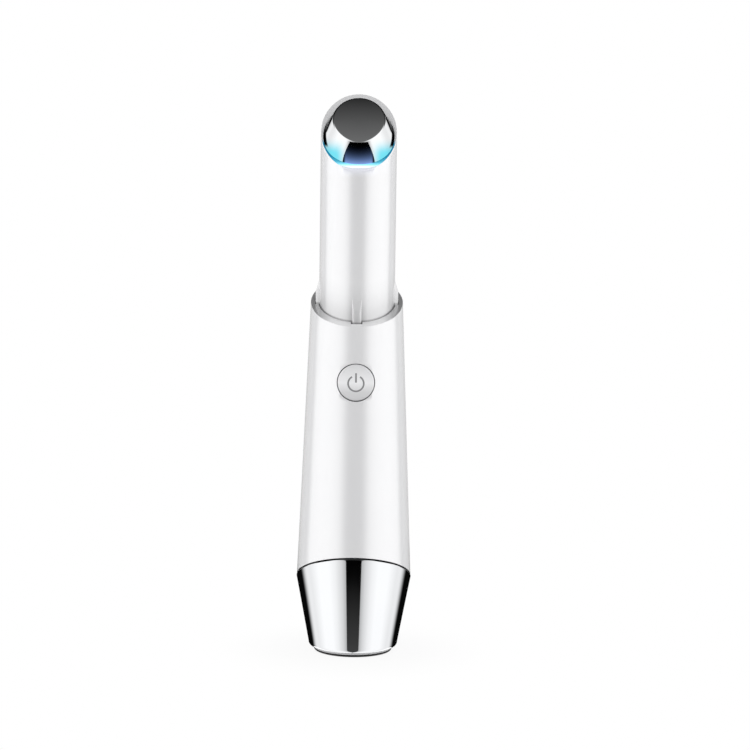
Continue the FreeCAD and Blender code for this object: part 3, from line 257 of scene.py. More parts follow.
def offPlane(tree, plane):
    place = addNode(tree, "TexCoord")
    lift = math.radians(plane["angle"])
    shifted = addNode(tree, "VectorMath", {"operation": "SUBTRACT"}, {
        0: place.outputs["Object"], 1: (0, 0, plane["height"] * mm)})
    return addNode(tree, "VectorMath", {"operation": "DOT_PRODUCT"}, {
        0: shifted.outputs[0], 1: (0, -math.sin(lift), math.cos(lift))}).outputs["Value"]


smoothly = {"interpolation_type": "SMOOTHSTEP"}


# what a map range takes, to turn one pair of values into another; a value of the second pair may
# itself be the result of a node, so that a tone fades in more than one direction
def fromTo(value, first, second=(0, 1)):
    return {"Value": value, "From Min": first[0], "From Max": first[1],
            "To Min": second[0], "To Max": second[1]}


# colours along a distance, each stop a distance in millimetres and a colour
def colourAlong(tree, distance, stops):
    low, high = stops[0][0], stops[-1][0]
    share = addNode(tree, "MapRange", inputs=fromTo(distance, (low * mm, high * mm)))
    ramp = addNode(tree, "ValToRGB", inputs={"Fac": share.outputs["Result"]}, stops=[
        ((reach - low) / (high - low), linear(colour)) for reach, colour in stops])
    return ramp.outputs["Color"]


# fades smoothly from one value to another between two distances in millimetres
def fadeAlong(tree, distance, start, end, first=0, last=1):
    return addNode(tree, "MapRange", smoothly, fromTo(
        distance, (start * mm, end * mm), (first, last))).outputs["Result"]


# noise whose grains are about as large as the given size in millimetres
def grain(tree, size, detail=2):
    place = addNode(tree, "TexCoord")
    return addNode(tree, "TexNoise", inputs={
        "Vector": place.outputs["Object"], "Scale": 1 / (size * mm), "Detail": detail})


# the surface of a finish: two close colours, a roughness range and a fine bump
def surface(name, colours, roughness, grainSize, bumpHeight, inputs=None):
    material, tree, shader = newMaterial(name, inputs or {})
    broad = grain(tree, grainSize * 8)
    fine = grain(tree, grainSize)
    tone = addNode(tree, "Mix", {"data_type": "RGBA"}, {
        0: broad.outputs["Fac"], 6: linear(colours[0]), 7: linear(colours[1])})
    gloss = addNode(tree, "MapRange", inputs=fromTo(fine.outputs["Fac"], (0, 1), roughness))
    bump = addNode(tree, "Bump", inputs={
        "Height": fine.outputs["Fac"], "Distance": bumpHeight * mm, "Strength": 1})
    tree.links.new(tone.outputs[2], shader.inputs["Base Color"])
    tree.links.new(gloss.outputs["Result"], shader.inputs["Roughness"])
    tree.links.new(bump.outputs["Normal"], shader.inputs["Normal"])
    return material


# ---- materials of the outside

# injection-moulded white ABS under clear lacquer: bright, with soft mirrored strips
# the neck has a copy of its own, which carries its painted shade and painted glow
whiteAbs, neckAbs = [
    surface(name, ("#f1f1f2", "#ededef"), (0.22, 0.28), 1.6, 0.0006, {
        "IOR": 1.54, "Specular IOR Level": 0.9, "Coat Weight": 1, "Coat IOR": 1.85,
        "Coat Roughness": 0.12})
    for name in ("lacquered_white_abs", "lacquered_white_abs_neck")]
# bright nickel-chrome plate on ABS: a clear mirror, with a trace of haze
chrome = {"colours": ("#c4c5c6", "#bfc0c2"), "haze": (0.03, 0.05)}
chromePlate = surface("bright_chrome_plate", chrome["colours"], chrome["haze"], 3, 0.0003,
                      {"Metallic": 1})
# soft black silicone rubber, for the seam
blackSilicone = surface("black_silicone_rubber", ("#060607", "#0a0a0b"), (0.5, 0.65), 0.4, 0.004,
                        {"Specular IOR Level": 0.1})
# printed grey ink, for the symbol
greyInk = surface("grey_pad_print_ink", ("#8c8c8e", "#848486"), (0.45, 0.55), 0.2, 0.001)
# silver lacquer of the foot, dull, and black round its lower edge
satinFoot = surface("satin_silver_lacquer", ("#d8d8d9", "#d0d0d2"), (0.34, 0.42), 0.3, 0.002,
                    {"Specular IOR Level": 0.15})
# silver paint of the button: pale, with painted shading that makes it lighter across its middle
# and darker above and below
satinPaint = surface("satin_silver_paint", ("#fafafb", "#f6f6f8"), (0.36, 0.42), 0.25, 0.001)


# how far the finishes darken: painted shading by height on the button, and black along the foot's
# lower edge; and painted shade on the neck by its distance off the collar's plane, darkest where
# it meets the collar
shades = {
    # painted shading of the button by height: darker above and below, lighter across its middle
    "button": ((76.2, "#dadada"), (78.6, "#e2e2e2"), (81.4, "#ffffff"), (84.2, "#f2f2f2"),
               (86.6, "#e6e6e6")),
    # black round the foot's lower edge, up to 0.7 mm
    "foot": ((0, "#060606"), (0.7, "#060606"), (0.76, "#ffffff"), (3, "#ffffff")),
    "neck": ((0, "#a2a2a2"), (0.15, "#a2a2a2"), (0.4, "#dadada"), (2.6, "#e4e4e4"),
             (4.4, "#efefef"), (7, "#f9f9f9"), (10, "#ffffff")),
    # painted shade on the collar's top face: from where its sides begin to darken to where they
    # are darkest
    "collarSides": (7.5, 13), "collarSkin": (-0.25, -0.1), "collarShadeTone": "#a6a6a6",
}


# multiplies what already colours a material, everywhere or by an amount
def shade(material, colour, amount=1):
    tree = material.node_tree
    tone = tree.nodes["Principled BSDF"].inputs["Base Color"]
    shaded = addNode(tree, "Mix", {"data_type": "RGBA", "blend_type": "MULTIPLY"}, {
        0: amount, 6: tone.links[0].from_socket, 7: colour})
    tree.links.new(shaded.outputs[2], tone)


def shadeFinishes():
    # painted shading on the button, and black along the foot's lower edge, both by height
    for material, stops in ((satinPaint, shades["button"]), (satinFoot, shades["foot"])):
        tree = material.node_tree
        shade(material, colourAlong(tree, heightOf(tree), stops))
    # painted shade on the neck, darkest where it meets the collar
    tree = neckAbs.node_tree
    shade(neckAbs, colourAlong(tree, offPlane(tree, collar), shades["neck"]))
    # painted shade on the collar's top face, darker at its sides
    tree = whiteAbs.node_tree
    sides = fadeAlong(tree, awayFromMiddle(tree), *shades["collarSides"])
    shade(whiteAbs, linear(shades["collarShadeTone"]),
          fadeAlong(tree, offPlane(tree, collar), *shades["collarSkin"], 0, sides))


# painted glow: emission in the white plastic next to the ring stands in for the ring's light
# shining faintly through it: from the foot to the top by height, less at the sides than in the
# middle, and only in front
neckGlow = {"colour": "#c8d4ff", "foot": 140, "full": 143.6, "fading": 145, "top": 147,
            "middle": 3, "side": 6.5, "middlePower": 0.22, "sidePower": 0.02,
            "front": -6, "back": -2}


def paintNeckGlow():
    tree = neckAbs.node_tree
    shader = tree.nodes["Principled BSDF"]
    power = fadeAlong(tree, awayFromMiddle(tree), neckGlow["middle"], neckGlow["side"],
                      neckGlow["middlePower"], neckGlow["sidePower"])
    power = fadeAlong(tree, along(tree, "Y"), neckGlow["front"], neckGlow["back"], power, 0)
    power = fadeAlong(tree, heightOf(tree), neckGlow["fading"], neckGlow["top"], power, 0)
    power = fadeAlong(tree, heightOf(tree), neckGlow["foot"], neckGlow["full"], 0, power)
    shader.inputs["Emission Color"].default_value = linear(neckGlow["colour"])
    tree.links.new(power, shader.inputs["Emission Strength"])


shadeFinishes()
paintNeckGlow()

# painted light of the ring on the foot of the chrome head: a cyan tint painted into the plate's
# colour at the sides of its dark middle, and a blue glow painted as emission in that middle, both
# fading upwards
glow = {
    "tint": "#5aafbd", "tintFoot": 0.2, "tintReach": 7, "tintFull": 147.3, "tintNone": 152,
    "middle": 2.8, "side": 6.6, "core": 4, "coreEdge": 0.4, "deep": "#94b8ff", "reach": 4.86,
    "power": 4, "strength": 0.78, "fading": 151, "top": 154,
}
# painted shade: a dark line painted where the head's sides sit in the ring, which widens upwards
footShadeLine = {"colour": "#0a0a0a", "dark": 0.55, "clear": 0.85, "start": 148.6, "full": 149.8,
            "narrow": 149, "wide": 157, "widening": 1.4}
# how the ring is lit, by height: white at its lowest point in front, cyan at the sides
ringLight = {
    "glow": ((143.1, "#ffffff"), (143.5, "#b8e4ee"), (144.1, "#4e9fb2"), (144.8, "#1d6478"),
             (146.4, "#0a4c60"), (150, "#0a4456"), (151.2, "#0c0e0f"), (166, "#0c0e0f")),
    "body": ((143.1, "#ffffff"), (143.6, "#ccf0f8"), (144.2, "#8fdcee"), (144.9, "#52b8d4"),
             (146.4, "#1590b8"), (150, "#1590b8"), (151.2, "#e2e4e5"), (166, "#e6e7e8")),
}


# chrome plate of the head, with the ring's light painted on its foot and a painted dark line where
# it sits in the ring
def makeHeadChrome():
    material, tree, shader = newMaterial("bright_chrome_plate_lit", {
        "Metallic": 1, "Specular Tint": grey(0.25)})
    off = offPlane(tree, face)
    aside = awayFromMiddle(tree)
    tinted = fadeAlong(tree, aside, glow["middle"], glow["side"])
    tinted = fadeAlong(tree, off, glow["tintFoot"], glow["tintReach"], tinted, 0)
    tinted = fadeAlong(tree, heightOf(tree), glow["tintFull"], glow["tintNone"], tinted, 0)
    tint = addNode(tree, "Mix", {"data_type": "RGBA"}, {
        0: tinted, 6: linear(chrome["colours"][0]), 7: linear(glow["tint"])})
    # painted shade: the dark line at the foot of the head's sides
    widening = addNode(tree, "MapRange", inputs=fromTo(
        heightOf(tree), (footShadeLine["narrow"] * mm, footShadeLine["wide"] * mm),
        (0, footShadeLine["widening"] * mm)))
    above = addNode(tree, "Math", {"operation": "SUBTRACT"}, {
        0: off, 1: widening.outputs["Result"]})
    line = fadeAlong(tree, heightOf(tree), footShadeLine["start"], footShadeLine["full"])
    line = fadeAlong(tree, above.outputs[0], footShadeLine["dark"], footShadeLine["clear"], line, 0)
    lined = addNode(tree, "Mix", {"data_type": "RGBA"}, {
        0: line, 6: tint.outputs[2], 7: linear(footShadeLine["colour"])})
    haze = grain(tree, 2)
    gloss = addNode(tree, "MapRange", inputs=fromTo(haze.outputs["Fac"], (0, 1), chrome["haze"]))
    near = addNode(tree, "MapRange", inputs=fromTo(off, (0, glow["reach"] * mm), (1, 0)))
    light = addNode(tree, "Math", {"operation": "POWER"}, {
        0: near.outputs["Result"], 1: glow["power"]})
    bright = addNode(tree, "Math", {"operation": "MULTIPLY"}, {
        0: light.outputs[0], 1: glow["strength"]})
    power = fadeAlong(tree, aside, glow["core"] - glow["coreEdge"],
                      glow["core"] + glow["coreEdge"], bright.outputs[0], 0)
    power = fadeAlong(tree, heightOf(tree), glow["fading"], glow["top"], power, 0)
    tree.links.new(lined.outputs[2], shader.inputs["Base Color"])
    tree.links.new(gloss.outputs["Result"], shader.inputs["Roughness"])
    tree.links.new(power, shader.inputs["Emission Strength"])
    shader.inputs["Emission Color"].default_value = linear(glow["deep"])
    return material


# frosted acrylic light guide: milky above, cyan and then white where the lamps shine through
def makeRingAcrylic():
    material, tree, shader = newMaterial("frosted_acrylic_light_guide", {
        "Roughness": 0.35, "IOR": 1.49, "Emission Strength": 1})
    frost = grain(tree, 0.3)
    tone = addNode(tree, "Mix", {"data_type": "RGBA"}, {
        0: frost.outputs["Fac"], 6: linear("#ffffff"), 7: linear("#fafafa")})
    tree.links.new(tone.outputs[2], shader.inputs["Base Color"])
    shade(material, colourAlong(tree, heightOf(tree), ringLight["body"]))
    tree.links.new(colourAlong(tree, heightOf(tree), ringLight["glow"]),
                   shader.inputs["Emission Color"])
    return material


headChrome = makeHeadChrome()
ringAcrylic = makeRingAcrylic()
print("outside materials made")

# ---- white handle

handle = {
    "seamHeight": 22.6, "seamRadius": 16.87, "seamAngle": -25, "gasket": 0.5,
    "gasketInset": 0.06, "collarRadius": 13.5, "bore": 11.3, "boreFoot": 93, "wall": 1.6,
    "rows": 25, "rowNearRim": 0.003, "rimRound": 0.3, "boreRound": 0.16, "seamRound": 0.14,
    "buttonHeight": 81.4, "buttonHole": 5.55, "holeReach": 30, "holeRound": 0.14,
    "holeSlack": 0.02,
    "keyWidth": 3.3, "keyReach": 12.3, "keyFoot": 91.4, "keyHead": 124,
}
handleSlope = ((handle["seamRadius"] - handle["collarRadius"])
               / (collar["height"] - handle["seamHeight"]))
halfGasket = handle["gasket"] / 2 / math.cos(math.radians(handle["seamAngle"]))


def handleRadius(height):
    return handle["collarRadius"] + handleSlope * (collar["height"] - height)


# height at which a cone with the handle's slope, and this radius at the collar, closes to a point
def coneTip(radiusAtCollar):
    return collar["height"] + radiusAtCollar / handleSlope


# stands what was made about Z on the button's own axis, facing the front
def toButton():
    return (Matrix.Translation((0, 0, handle["buttonHeight"] * mm))
            @ Matrix.Rotation(math.radians(90), 4, "X"))


# whether a corner is on the wall of the button's hole, in the outer half of the skin
def atHoleRim(v):
    off = math.hypot(v.co.x, v.co.z - handle["buttonHeight"] * mm) - handle["buttonHole"] * mm
    middleOfWall = (handleRadius(v.co.z / mm) - handle["wall"] / 2
                    - v.co.x ** 2 / mm / handle["seamRadius"])
    return abs(off) < handle["holeSlack"] * mm and v.co.y < -middleOfWall * mm


# fine rounding where the button's hole breaks the outer skin
def roundHole(piece):
    bm = bmesh.new()
    bm.from_mesh(piece.data)
    sharp = math.radians(50)
    rim = [e for e in bm.edges if all(atHoleRim(v) for v in e.verts)
           and len(e.link_faces) == 2 and e.calc_face_angle() > sharp]
    roundEdges(bm, rim, handle["holeRound"], 2)
    sortMesh(bm)
    bm.to_mesh(piece.data)
    bm.free()


def makeHandle():
    bm = bmesh.new()
    wall = handle["wall"]
    seam = handle["seamHeight"] + halfGasket
    low, high = (handleRadius(seam), seam), (handle["collarRadius"], collar["height"])
    # finer rows beside the rims keep their rounding from bending the shading further off
    shares = rowShares(handle["rows"], handle["rowNearRim"], 1 - handle["rowNearRim"])
    profile = [low] + pointsBetween(low, high, shares) + [high] + [
        (handle["bore"], collar["height"]), (handle["bore"], handle["boreFoot"]),
        (handleRadius(handle["boreFoot"]) - wall, handle["boreFoot"]),
        (handleRadius(seam) - wall, seam)]
    rings = turnProfile(bm, profile, closed=True)
    outerLow, wallRings, outerHigh = rings[0], rings[1:-5], rings[-5]
    boreHigh, innerLow = rings[-4], rings[-1]
    outerTip = coneTip(handle["collarRadius"])
    slideToPlane(outerLow, seam, handle["seamAngle"], outerTip)
    slideToPlane(innerLow, seam, handle["seamAngle"], coneTip(handle["collarRadius"] - wall))
    slideToPlane(outerHigh, collar["height"], collar["angle"], outerTip)
    slideToPlane(boreHigh, collar["height"], collar["angle"])
    layBetween(wallRings, outerLow, outerHigh, shares)
    rims = [edgesOf(ring) for ring in (outerHigh, boreHigh, outerLow)]
    for rim, radius in zip(rims, (handle["rimRound"], handle["boreRound"], handle["seamRound"])):
        roundEdges(bm, rim, radius)
    piece = toObject(bm, "handle")
    carve(piece, makeRod("button_hole_cutter", handle["buttonHole"], 0, handle["holeReach"],
                         toButton()))
    roundHole(piece)
    # ways for the neck's ribs
    for turned in (0, 90):
        carve(piece, makeBlock("keyway_cutter", (
            handle["keyWidth"], handle["keyReach"] * 2, handle["keyHead"] - handle["keyFoot"]), (
            0, 0, (handle["keyHead"] + handle["keyFoot"]) / 2), turned))
    dressPiece(piece, "handle", whiteAbs, ["body_shell"])


makeHandle()
print("handle made")

# ---- neck tube with its slanted face and four ribs

neck = {
    "radius": 11.1, "flangeRadius": 12.2, "flangeFoot": 90.5, "shoulder": 93,
    "bore": 9.7, "upperBore": 9.2, "boreStep": 128, "roof": 147.18, "rows": 16,
    "lowestRow": 0.02, "highestRow": 0.985, "rimRound": 0.15, "cutAbove": 2,
    "seatHalfWidth": 10.75, "seatHalfLength": 12.6, "seatShift": -1.85, "seatDepth": 3,
    "seatFullness": 2.45, "seatSkin": 11.03,
    "openingHalfWidth": 7.03, "openingHalfLength": 9.06, "openingShift": -2.06,
    "openingDepth": 5.4,
}
rib = {"halfWidth": 1.55, "faceHalfWidth": 1.12, "back": 10.4, "front": 12.1, "sunk": 1,
       "rise": 8.3, "ramp": 5.3, "edgeRound": 0.13}


# lays what was made about Z in the plane of the slanted face
def toFace():
    return (Matrix.Translation((0, 0, face["height"] * mm))
            @ Matrix.Rotation(math.radians(face["angle"]), 4, "X"))


# upright elliptical plug in the plane of the slanted face, for cutting
def facePlug(name, halfWidth, halfLength, shift, low, high, fullness=2):
    bm = bmesh.new()
    for ring in turnProfile(bm, [(halfWidth, low), (halfWidth, high)]):
        stretchRing(ring, halfWidth, halfLength, shift, fullness)
        capRing(bm, ring)
    moveAll(bm, toFace())
    return toObject(bm, name)


# one rib: a block with drafted sides and a ramp at its top
def makeRib(quarter):
    bm = bmesh.new()
    rearward = (1, 0, -1, 0)[quarter]
    foot = neck["shoulder"] - rib["sunk"]
    lean = math.tan(math.radians(collar["angle"]))
    top = collar["height"] + lean * neck["radius"] * rearward + rib["rise"]
    bmesh.ops.create_cube(bm, size=2)
    for v in bm.verts:
        outside, high = v.co.y > 0, v.co.z > 0
        half = rib["faceHalfWidth"] if outside else rib["halfWidth"]
        drop = rib["ramp"] if outside else 0
        v.co = Vector((math.copysign(half, v.co.x), rib["front"] if outside else rib["back"],
                       top - drop if high else foot)) * mm
    shown = [e for e in bm.edges if max(v.co.y for v in e.verts) > neck["radius"] * mm
             and max(v.co.z for v in e.verts) > neck["shoulder"] * mm]
    roundEdges(bm, shown, rib["edgeRound"], 2)
    moveAll(bm, Matrix.Rotation(math.radians(90 * quarter), 4, "Z"))
    return toObject(bm, "rib")


def makeNeck():
    bm = bmesh.new()
    low, high = (neck["radius"], neck["shoulder"]), (neck["radius"], face["height"])
    shares = rowShares(neck["rows"], neck["lowestRow"], neck["highestRow"])
    rings = turnProfile(bm, [
        (neck["upperBore"], neck["roof"]), (neck["upperBore"], neck["boreStep"]),
        (neck["bore"], neck["boreStep"]), (neck["bore"], neck["flangeFoot"]),
        (neck["flangeRadius"], neck["flangeFoot"]), (neck["flangeRadius"], neck["shoulder"]),
        low] + pointsBetween(low, high, shares) + [high])
    roof, tubeLow, tubeHigh = rings[0], rings[6], rings[-1]
    slideToPlane(tubeHigh, face["height"], face["angle"])
    slideToPlane(roof, neck["roof"], face["angle"])
    layBetween(rings[7:-1], tubeLow, tubeHigh, shares)
    capRing(bm, roof)
    capRing(bm, tubeHigh)
    roundEdges(bm, edgesOf(tubeHigh), neck["rimRound"])
    piece = toObject(bm, "neck")
    for quarter in range(4):
        carve(piece, makeRib(quarter), "UNION")
    seat = facePlug("seat_cutter", neck["seatHalfWidth"], neck["seatHalfLength"],
                    neck["seatShift"], -neck["seatDepth"], neck["cutAbove"],
                    neck["seatFullness"])
    carve(seat, makeRod("seat_skin", neck["seatSkin"], *clearOfFace), "INTERSECT")
    carve(piece, seat)
    carve(piece, facePlug("opening_cutter", neck["openingHalfWidth"], neck["openingHalfLength"],
                          neck["openingShift"], -neck["openingDepth"], neck["cutAbove"]))
    dressPiece(piece, "handle", neckAbs, ["neck_tube"])


makeNeck()
print("neck made")

# ---- massage head and the lit ring round it

head = {
    "rimHalfWidth": 10.33, "rimHalfLength": 11.68, "rimShift": -1.38, "rimFullness": 2.25,
    "facetHalfWidth": 7.65, "facetHalfLength": 9.19, "facetFullness": 1.73, "facetRound": 0.26,
    "rise": 4.86, "crown": 0.16, "crownRows": (0.94, 0.86, 0.72, 0.56, 0.4, 0.24, 0.1),
    "flangeDepth": 1.6, "cavityHalfWidth": 7.6, "cavityHalfLength": 9.2, "cavityShift": -1.2,
    "cavityRise": 2.6,
}
ring = {"halfWidth": 10.7, "halfLength": 12.55, "shift": -1.85, "fullness": 2.45, "depth": 2.5,
        "gap": 0.05, "ledge": 1.0, "skin": 10.99, "edgeRound": 0.1}


def makeHead():
    bm = bmesh.new()
    cavity = (head["cavityHalfLength"], head["cavityShift"])
    rim = (head["rimHalfLength"], head["rimShift"], head["rimFullness"])
    rows = [
        (head["cavityHalfWidth"], head["cavityRise"], *cavity),
        (head["cavityHalfWidth"], -head["flangeDepth"], *cavity),
        (head["rimHalfWidth"], -head["flangeDepth"], *rim), (head["rimHalfWidth"], 0, *rim),
        (head["facetHalfWidth"], head["rise"], head["facetHalfLength"], 0,
         head["facetFullness"]),
    ]
    # the disc is crowned a little, as polished plate is
    for share in head["crownRows"]:
        lift = head["rise"] + head["crown"] * (1 - share ** 2)
        rows.append((head["facetHalfWidth"] * share, lift, head["facetHalfLength"] * share, 0,
                     head["facetFullness"]))
    rings = turnProfile(bm, [row[:2] for row in rows])
    for turned, (halfWidth, height, *shape) in zip(rings, rows):
        stretchRing(turned, halfWidth, *shape)
    capRing(bm, rings[0])
    capRing(bm, rings[-1])
    roundEdges(bm, edgesOf(rings[4]), head["facetRound"], 4)
    moveAll(bm, toFace())
    dressPiece(toObject(bm, "head"), "handle", headChrome, ["massage_head"])


def makeRing():
    bm = bmesh.new()
    seat = (head["rimHalfWidth"] + ring["gap"], head["rimHalfLength"] + ring["gap"])
    ledge = (head["rimHalfWidth"] - ring["ledge"], head["rimHalfLength"] - ring["ledge"])
    outer = (ring["halfLength"], ring["shift"], ring["fullness"])
    inner = (head["rimShift"], head["rimFullness"])
    rows = [
        (ring["halfWidth"], -ring["depth"], *outer), (ring["halfWidth"], 0, *outer),
        (seat[0], 0, seat[1], *inner), (seat[0], -head["flangeDepth"], seat[1], *inner),
        (ledge[0], -head["flangeDepth"], ledge[1], *inner),
        (ledge[0], -ring["depth"], ledge[1], *inner),
    ]
    rings = turnProfile(bm, [row[:2] for row in rows], closed=True)
    for turned, (halfWidth, height, *shape) in zip(rings, rows):
        stretchRing(turned, halfWidth, *shape)
    roundEdges(bm, edgesOf(rings[2]), ring["edgeRound"], 2)
    moveAll(bm, toFace())
    piece = toObject(bm, "lit_ring")
    carve(piece, makeRod("skin_cutter", ring["skin"], *clearOfFace), "INTERSECT")
    dressPiece(piece, "handle", ringAcrylic, ["light_ring"])


makeHead()
makeRing()
print("head and ring made")

# ---- power button with its symbol

button = {
    "radius": 5.28, "proud": 0.05, "crown": 0.45, "edgeRound": 0.16, "flange": 6,
    "flangeThickness": 0.8, "flangeFront": 11.03, "nub": 2, "nubLength": 0.3,
    "crownRows": (0.94, 0.85, 0.72, 0.58, 0.44, 0.3, 0.15, 0.05),
}
symbol = {"radius": 2.26, "stroke": 0.46, "drop": 0.2, "gapAngle": 31, "barLow": 0.1,
          "barHigh": 2.79, "lift": 0.02, "thickness": 0.06, "arcSteps": 56, "barSteps": 12}
buttonFront = handleRadius(handle["buttonHeight"]) + button["proud"]


# how far in front of the axis the domed face is, at a distance from the button's own middle
def domeAt(distance):
    return buttonFront - button["crown"] * (distance / button["radius"]) ** 2


def makeButton():
    bm = bmesh.new()
    rear = button["flangeFront"] - button["flangeThickness"]
    profile = [
        (button["nub"], rear - button["nubLength"]), (button["nub"], rear),
        (button["flange"], rear), (button["flange"], button["flangeFront"]),
        (button["radius"], button["flangeFront"]), (button["radius"], domeAt(button["radius"])),
    ]
    for share in button["crownRows"]:
        distance = button["radius"] * share
        profile.append((distance, domeAt(distance)))
    rings = turnProfile(bm, profile)
    capRing(bm, rings[0])
    capRing(bm, rings[-1])
    roundEdges(bm, edgesOf(rings[5]), button["edgeRound"], 4)
    moveAll(bm, toButton())
    dressPiece(toObject(bm, "button_cap"), "button", satinPaint,
               ["power_button"])


# arc with a gap at the top and a bar in the gap, printed on the domed face
def makeSymbol():
    bm = bmesh.new()
    half = symbol["stroke"] / 2
    inner = bm.verts.new((0, (symbol["radius"] - half) * mm, 0))
    outer = bm.verts.new((0, (symbol["radius"] + half) * mm, 0))
    stroke = bm.edges.new((inner, outer))
    start = math.radians(symbol["gapAngle"])
    bmesh.ops.rotate(bm, verts=[inner, outer], cent=(0, 0, 0),
                     matrix=Matrix.Rotation(start, 3, "Z"))
    bmesh.ops.spin(bm, geom=[inner, outer, stroke], cent=(0, 0, 0), axis=(0, 0, 1),
                   angle=2 * math.pi - 2 * start, steps=symbol["arcSteps"], use_merge=False)
    bmesh.ops.translate(bm, verts=bm.verts, vec=(0, -symbol["drop"] * mm, 0))
    bar = bmesh.ops.create_grid(bm, x_segments=2, y_segments=symbol["barSteps"],
                                size=1)["verts"]
    tall = (symbol["barHigh"] - symbol["barLow"]) / 2
    middle = (symbol["barHigh"] + symbol["barLow"]) / 2
    bmesh.ops.scale(bm, verts=bar, vec=(half * mm, tall * mm, 1))
    bmesh.ops.translate(bm, verts=bar, vec=(0, middle * mm, 0))
    for v in bm.verts:
        v.co.z = (domeAt(v.co.xy.length / mm) + symbol["lift"]) * mm
    bm.normal_update()
    for f in bm.faces:
        if f.normal.z < 0:
            f.normal_flip()
    sunk = bmesh.ops.extrude_face_region(bm, geom=bm.faces[:])["geom"]
    bmesh.ops.translate(bm, verts=[g for g in sunk if isinstance(g, bmesh.types.BMVert)],
                        vec=(0, 0, -symbol["thickness"] * mm))
    moveAll(bm, toButton())
    dressPiece(toObject(bm, "power_symbol"), "button", greyInk)


makeButton()
makeSymbol()
print("button made")

# ---- chrome base and foot

base = {
    "bottom": 1.35, "bottomRadius": 13.2, "corner": 1.2, "cornerSteps": 6, "topRadius": 16.97,
    "wall": 1.2, "floor": 2.75, "footHole": 11.6, "lipRound": 0.13, "rows": 15,
    "highestRow": 0.988,
}
foot = {"radius": 11.5, "edge": 0.3, "edgeRound": 0.1, "top": 2.75, "slotHalfWidth": 3.9,
        "slotHalfDepth": 1.45, "slotReach": 5, "slotCorner": 0.5}


def makeBase():
    bm = bmesh.new()
    edge = handle["seamHeight"] - halfGasket
    profile = [(base["footHole"], base["floor"]), (base["footHole"], base["bottom"])]
    for step in range(base["cornerSteps"] + 1):
        swing = math.pi / 2 * step / base["cornerSteps"]
        profile.append((base["bottomRadius"] - base["corner"] * (1 - math.sin(swing)),
                        base["bottom"] + base["corner"] * (1 - math.cos(swing))))
    corner, top = profile[-1], (base["topRadius"], edge)
    shares = rowShares(base["rows"], base["highestRow"])
    profile += pointsBetween(corner, top, shares) + [top] + [
        (base["topRadius"] - base["wall"], edge),
        (base["bottomRadius"] - base["wall"], base["floor"])]
    rings = turnProfile(bm, profile, closed=True)
    cornerRing = rings[2 + base["cornerSteps"]]
    lip, lipInside = rings[-3], rings[-2]
    for turned in (lip, lipInside):
        slideToPlane(turned, edge, handle["seamAngle"], coneTip(handle["collarRadius"]))
    layBetween(rings[3 + base["cornerSteps"]:-3], cornerRing, lip, shares)
    roundEdges(bm, edgesOf(lip), base["lipRound"])
    dressPiece(toObject(bm, "base"), "handle", chromePlate, ["base_cover"])


def makeFoot():
    bm = bmesh.new()
    under, edge, top = turnProfile(bm, [
        (foot["radius"] - foot["edge"], 0), (foot["radius"], foot["edge"]),
        (foot["radius"], foot["top"])])
    capRing(bm, under)
    capRing(bm, top)
    roundEdges(bm, edgesOf(edge) + edgesOf(under), foot["edgeRound"])
    piece = toObject(bm, "foot")
    slot = bmesh.new()
    bmesh.ops.create_cube(slot, size=2)
    bmesh.ops.scale(slot, verts=slot.verts, vec=Vector((
        foot["slotHalfWidth"], foot["slotHalfDepth"], foot["slotReach"])) * mm)
    upright = [e for e in slot.edges if abs(e.verts[0].co.z - e.verts[1].co.z) > mm]
    roundEdges(slot, upright, foot["slotCorner"], 5)
    carve(piece, toObject(slot, "slot_cutter"))
    dressPiece(piece, "handle", satinFoot, ["foot_plate"])


# thin black gasket in the slanted seam
def makeGasket():
    bm = bmesh.new()
    inset = handle["gasketInset"]
    low, high = handle["seamHeight"] - halfGasket, handle["seamHeight"] + halfGasket
    rows = [(handleRadius(height) - depth, height) for depth, height in (
        (inset, low), (inset, high), (handle["wall"], high), (handle["wall"], low))]
    for turned, (radius, height) in zip(turnProfile(bm, rows, closed=True), rows):
        tip = coneTip(handle["collarRadius"] - (handleRadius(height) - radius))
        slideToPlane(turned, height, handle["seamAngle"], tip)
    dressPiece(toObject(bm, "gasket"), "handle", blackSilicone,
               ["base_gasket"])


makeBase()
makeGasket()
makeFoot()
print("base, gasket and foot made")

# ---- materials of the CAD pieces that stay

# natural ABS, moulded: dull and slightly warm, for frames that nobody sees
frameAbs = surface("natural_moulded_abs", ("#dedcd6", "#d3d1ca"), (0.5, 0.62), 0.9, 0.004)
# glass-fibre board under green solder mask: the weave shows faintly
greenBoard = surface("green_solder_mask_board", ("#0c4a26", "#125a30"), (0.3, 0.42), 0.5, 0.003)
# aluminium-core board under white solder mask
whiteBoard = surface("white_solder_mask_board", ("#e9e9e6", "#dfdfdb"), (0.35, 0.48), 0.5, 0.003)
# clear epoxy lens of a small lamp
lampLens = surface("clear_epoxy_lens", ("#b8e4ee", "#a4d8e6"), (0.1, 0.18), 0.2, 0.001)
# black moulding compound of chips and cases
chipResin = surface("black_moulding_resin", ("#141416", "#1d1d20"), (0.5, 0.68), 0.12, 0.004)
# nylon of connector bodies
connectorNylon = surface("cream_connector_nylon", ("#e6e1d2", "#dad5c4"), (0.45, 0.58), 0.3, 0.003)
# polyimide heater film with an etched track, on aluminium
heaterFilm = surface("polyimide_heater_film", ("#b8702c", "#a86222"), (0.25, 0.38), 0.4, 0.003)
# glass bead of a temperature sensor under dark lacquer
sensorLacquer = surface("dark_sensor_lacquer", ("#1c1c20", "#2a2a2e"), (0.3, 0.42), 0.3, 0.003)
# shrink wrap on the cell's steel can
cellWrap = surface("blue_shrink_wrap", ("#1c5a96", "#18508a"), (0.22, 0.32), 2.0, 0.006)
# closed-cell polyurethane foam: open, dull and dark
blackFoam = surface("closed_cell_foam", ("#1e1e20", "#2c2c2e"), (0.85, 0.98), 0.35, 0.05)
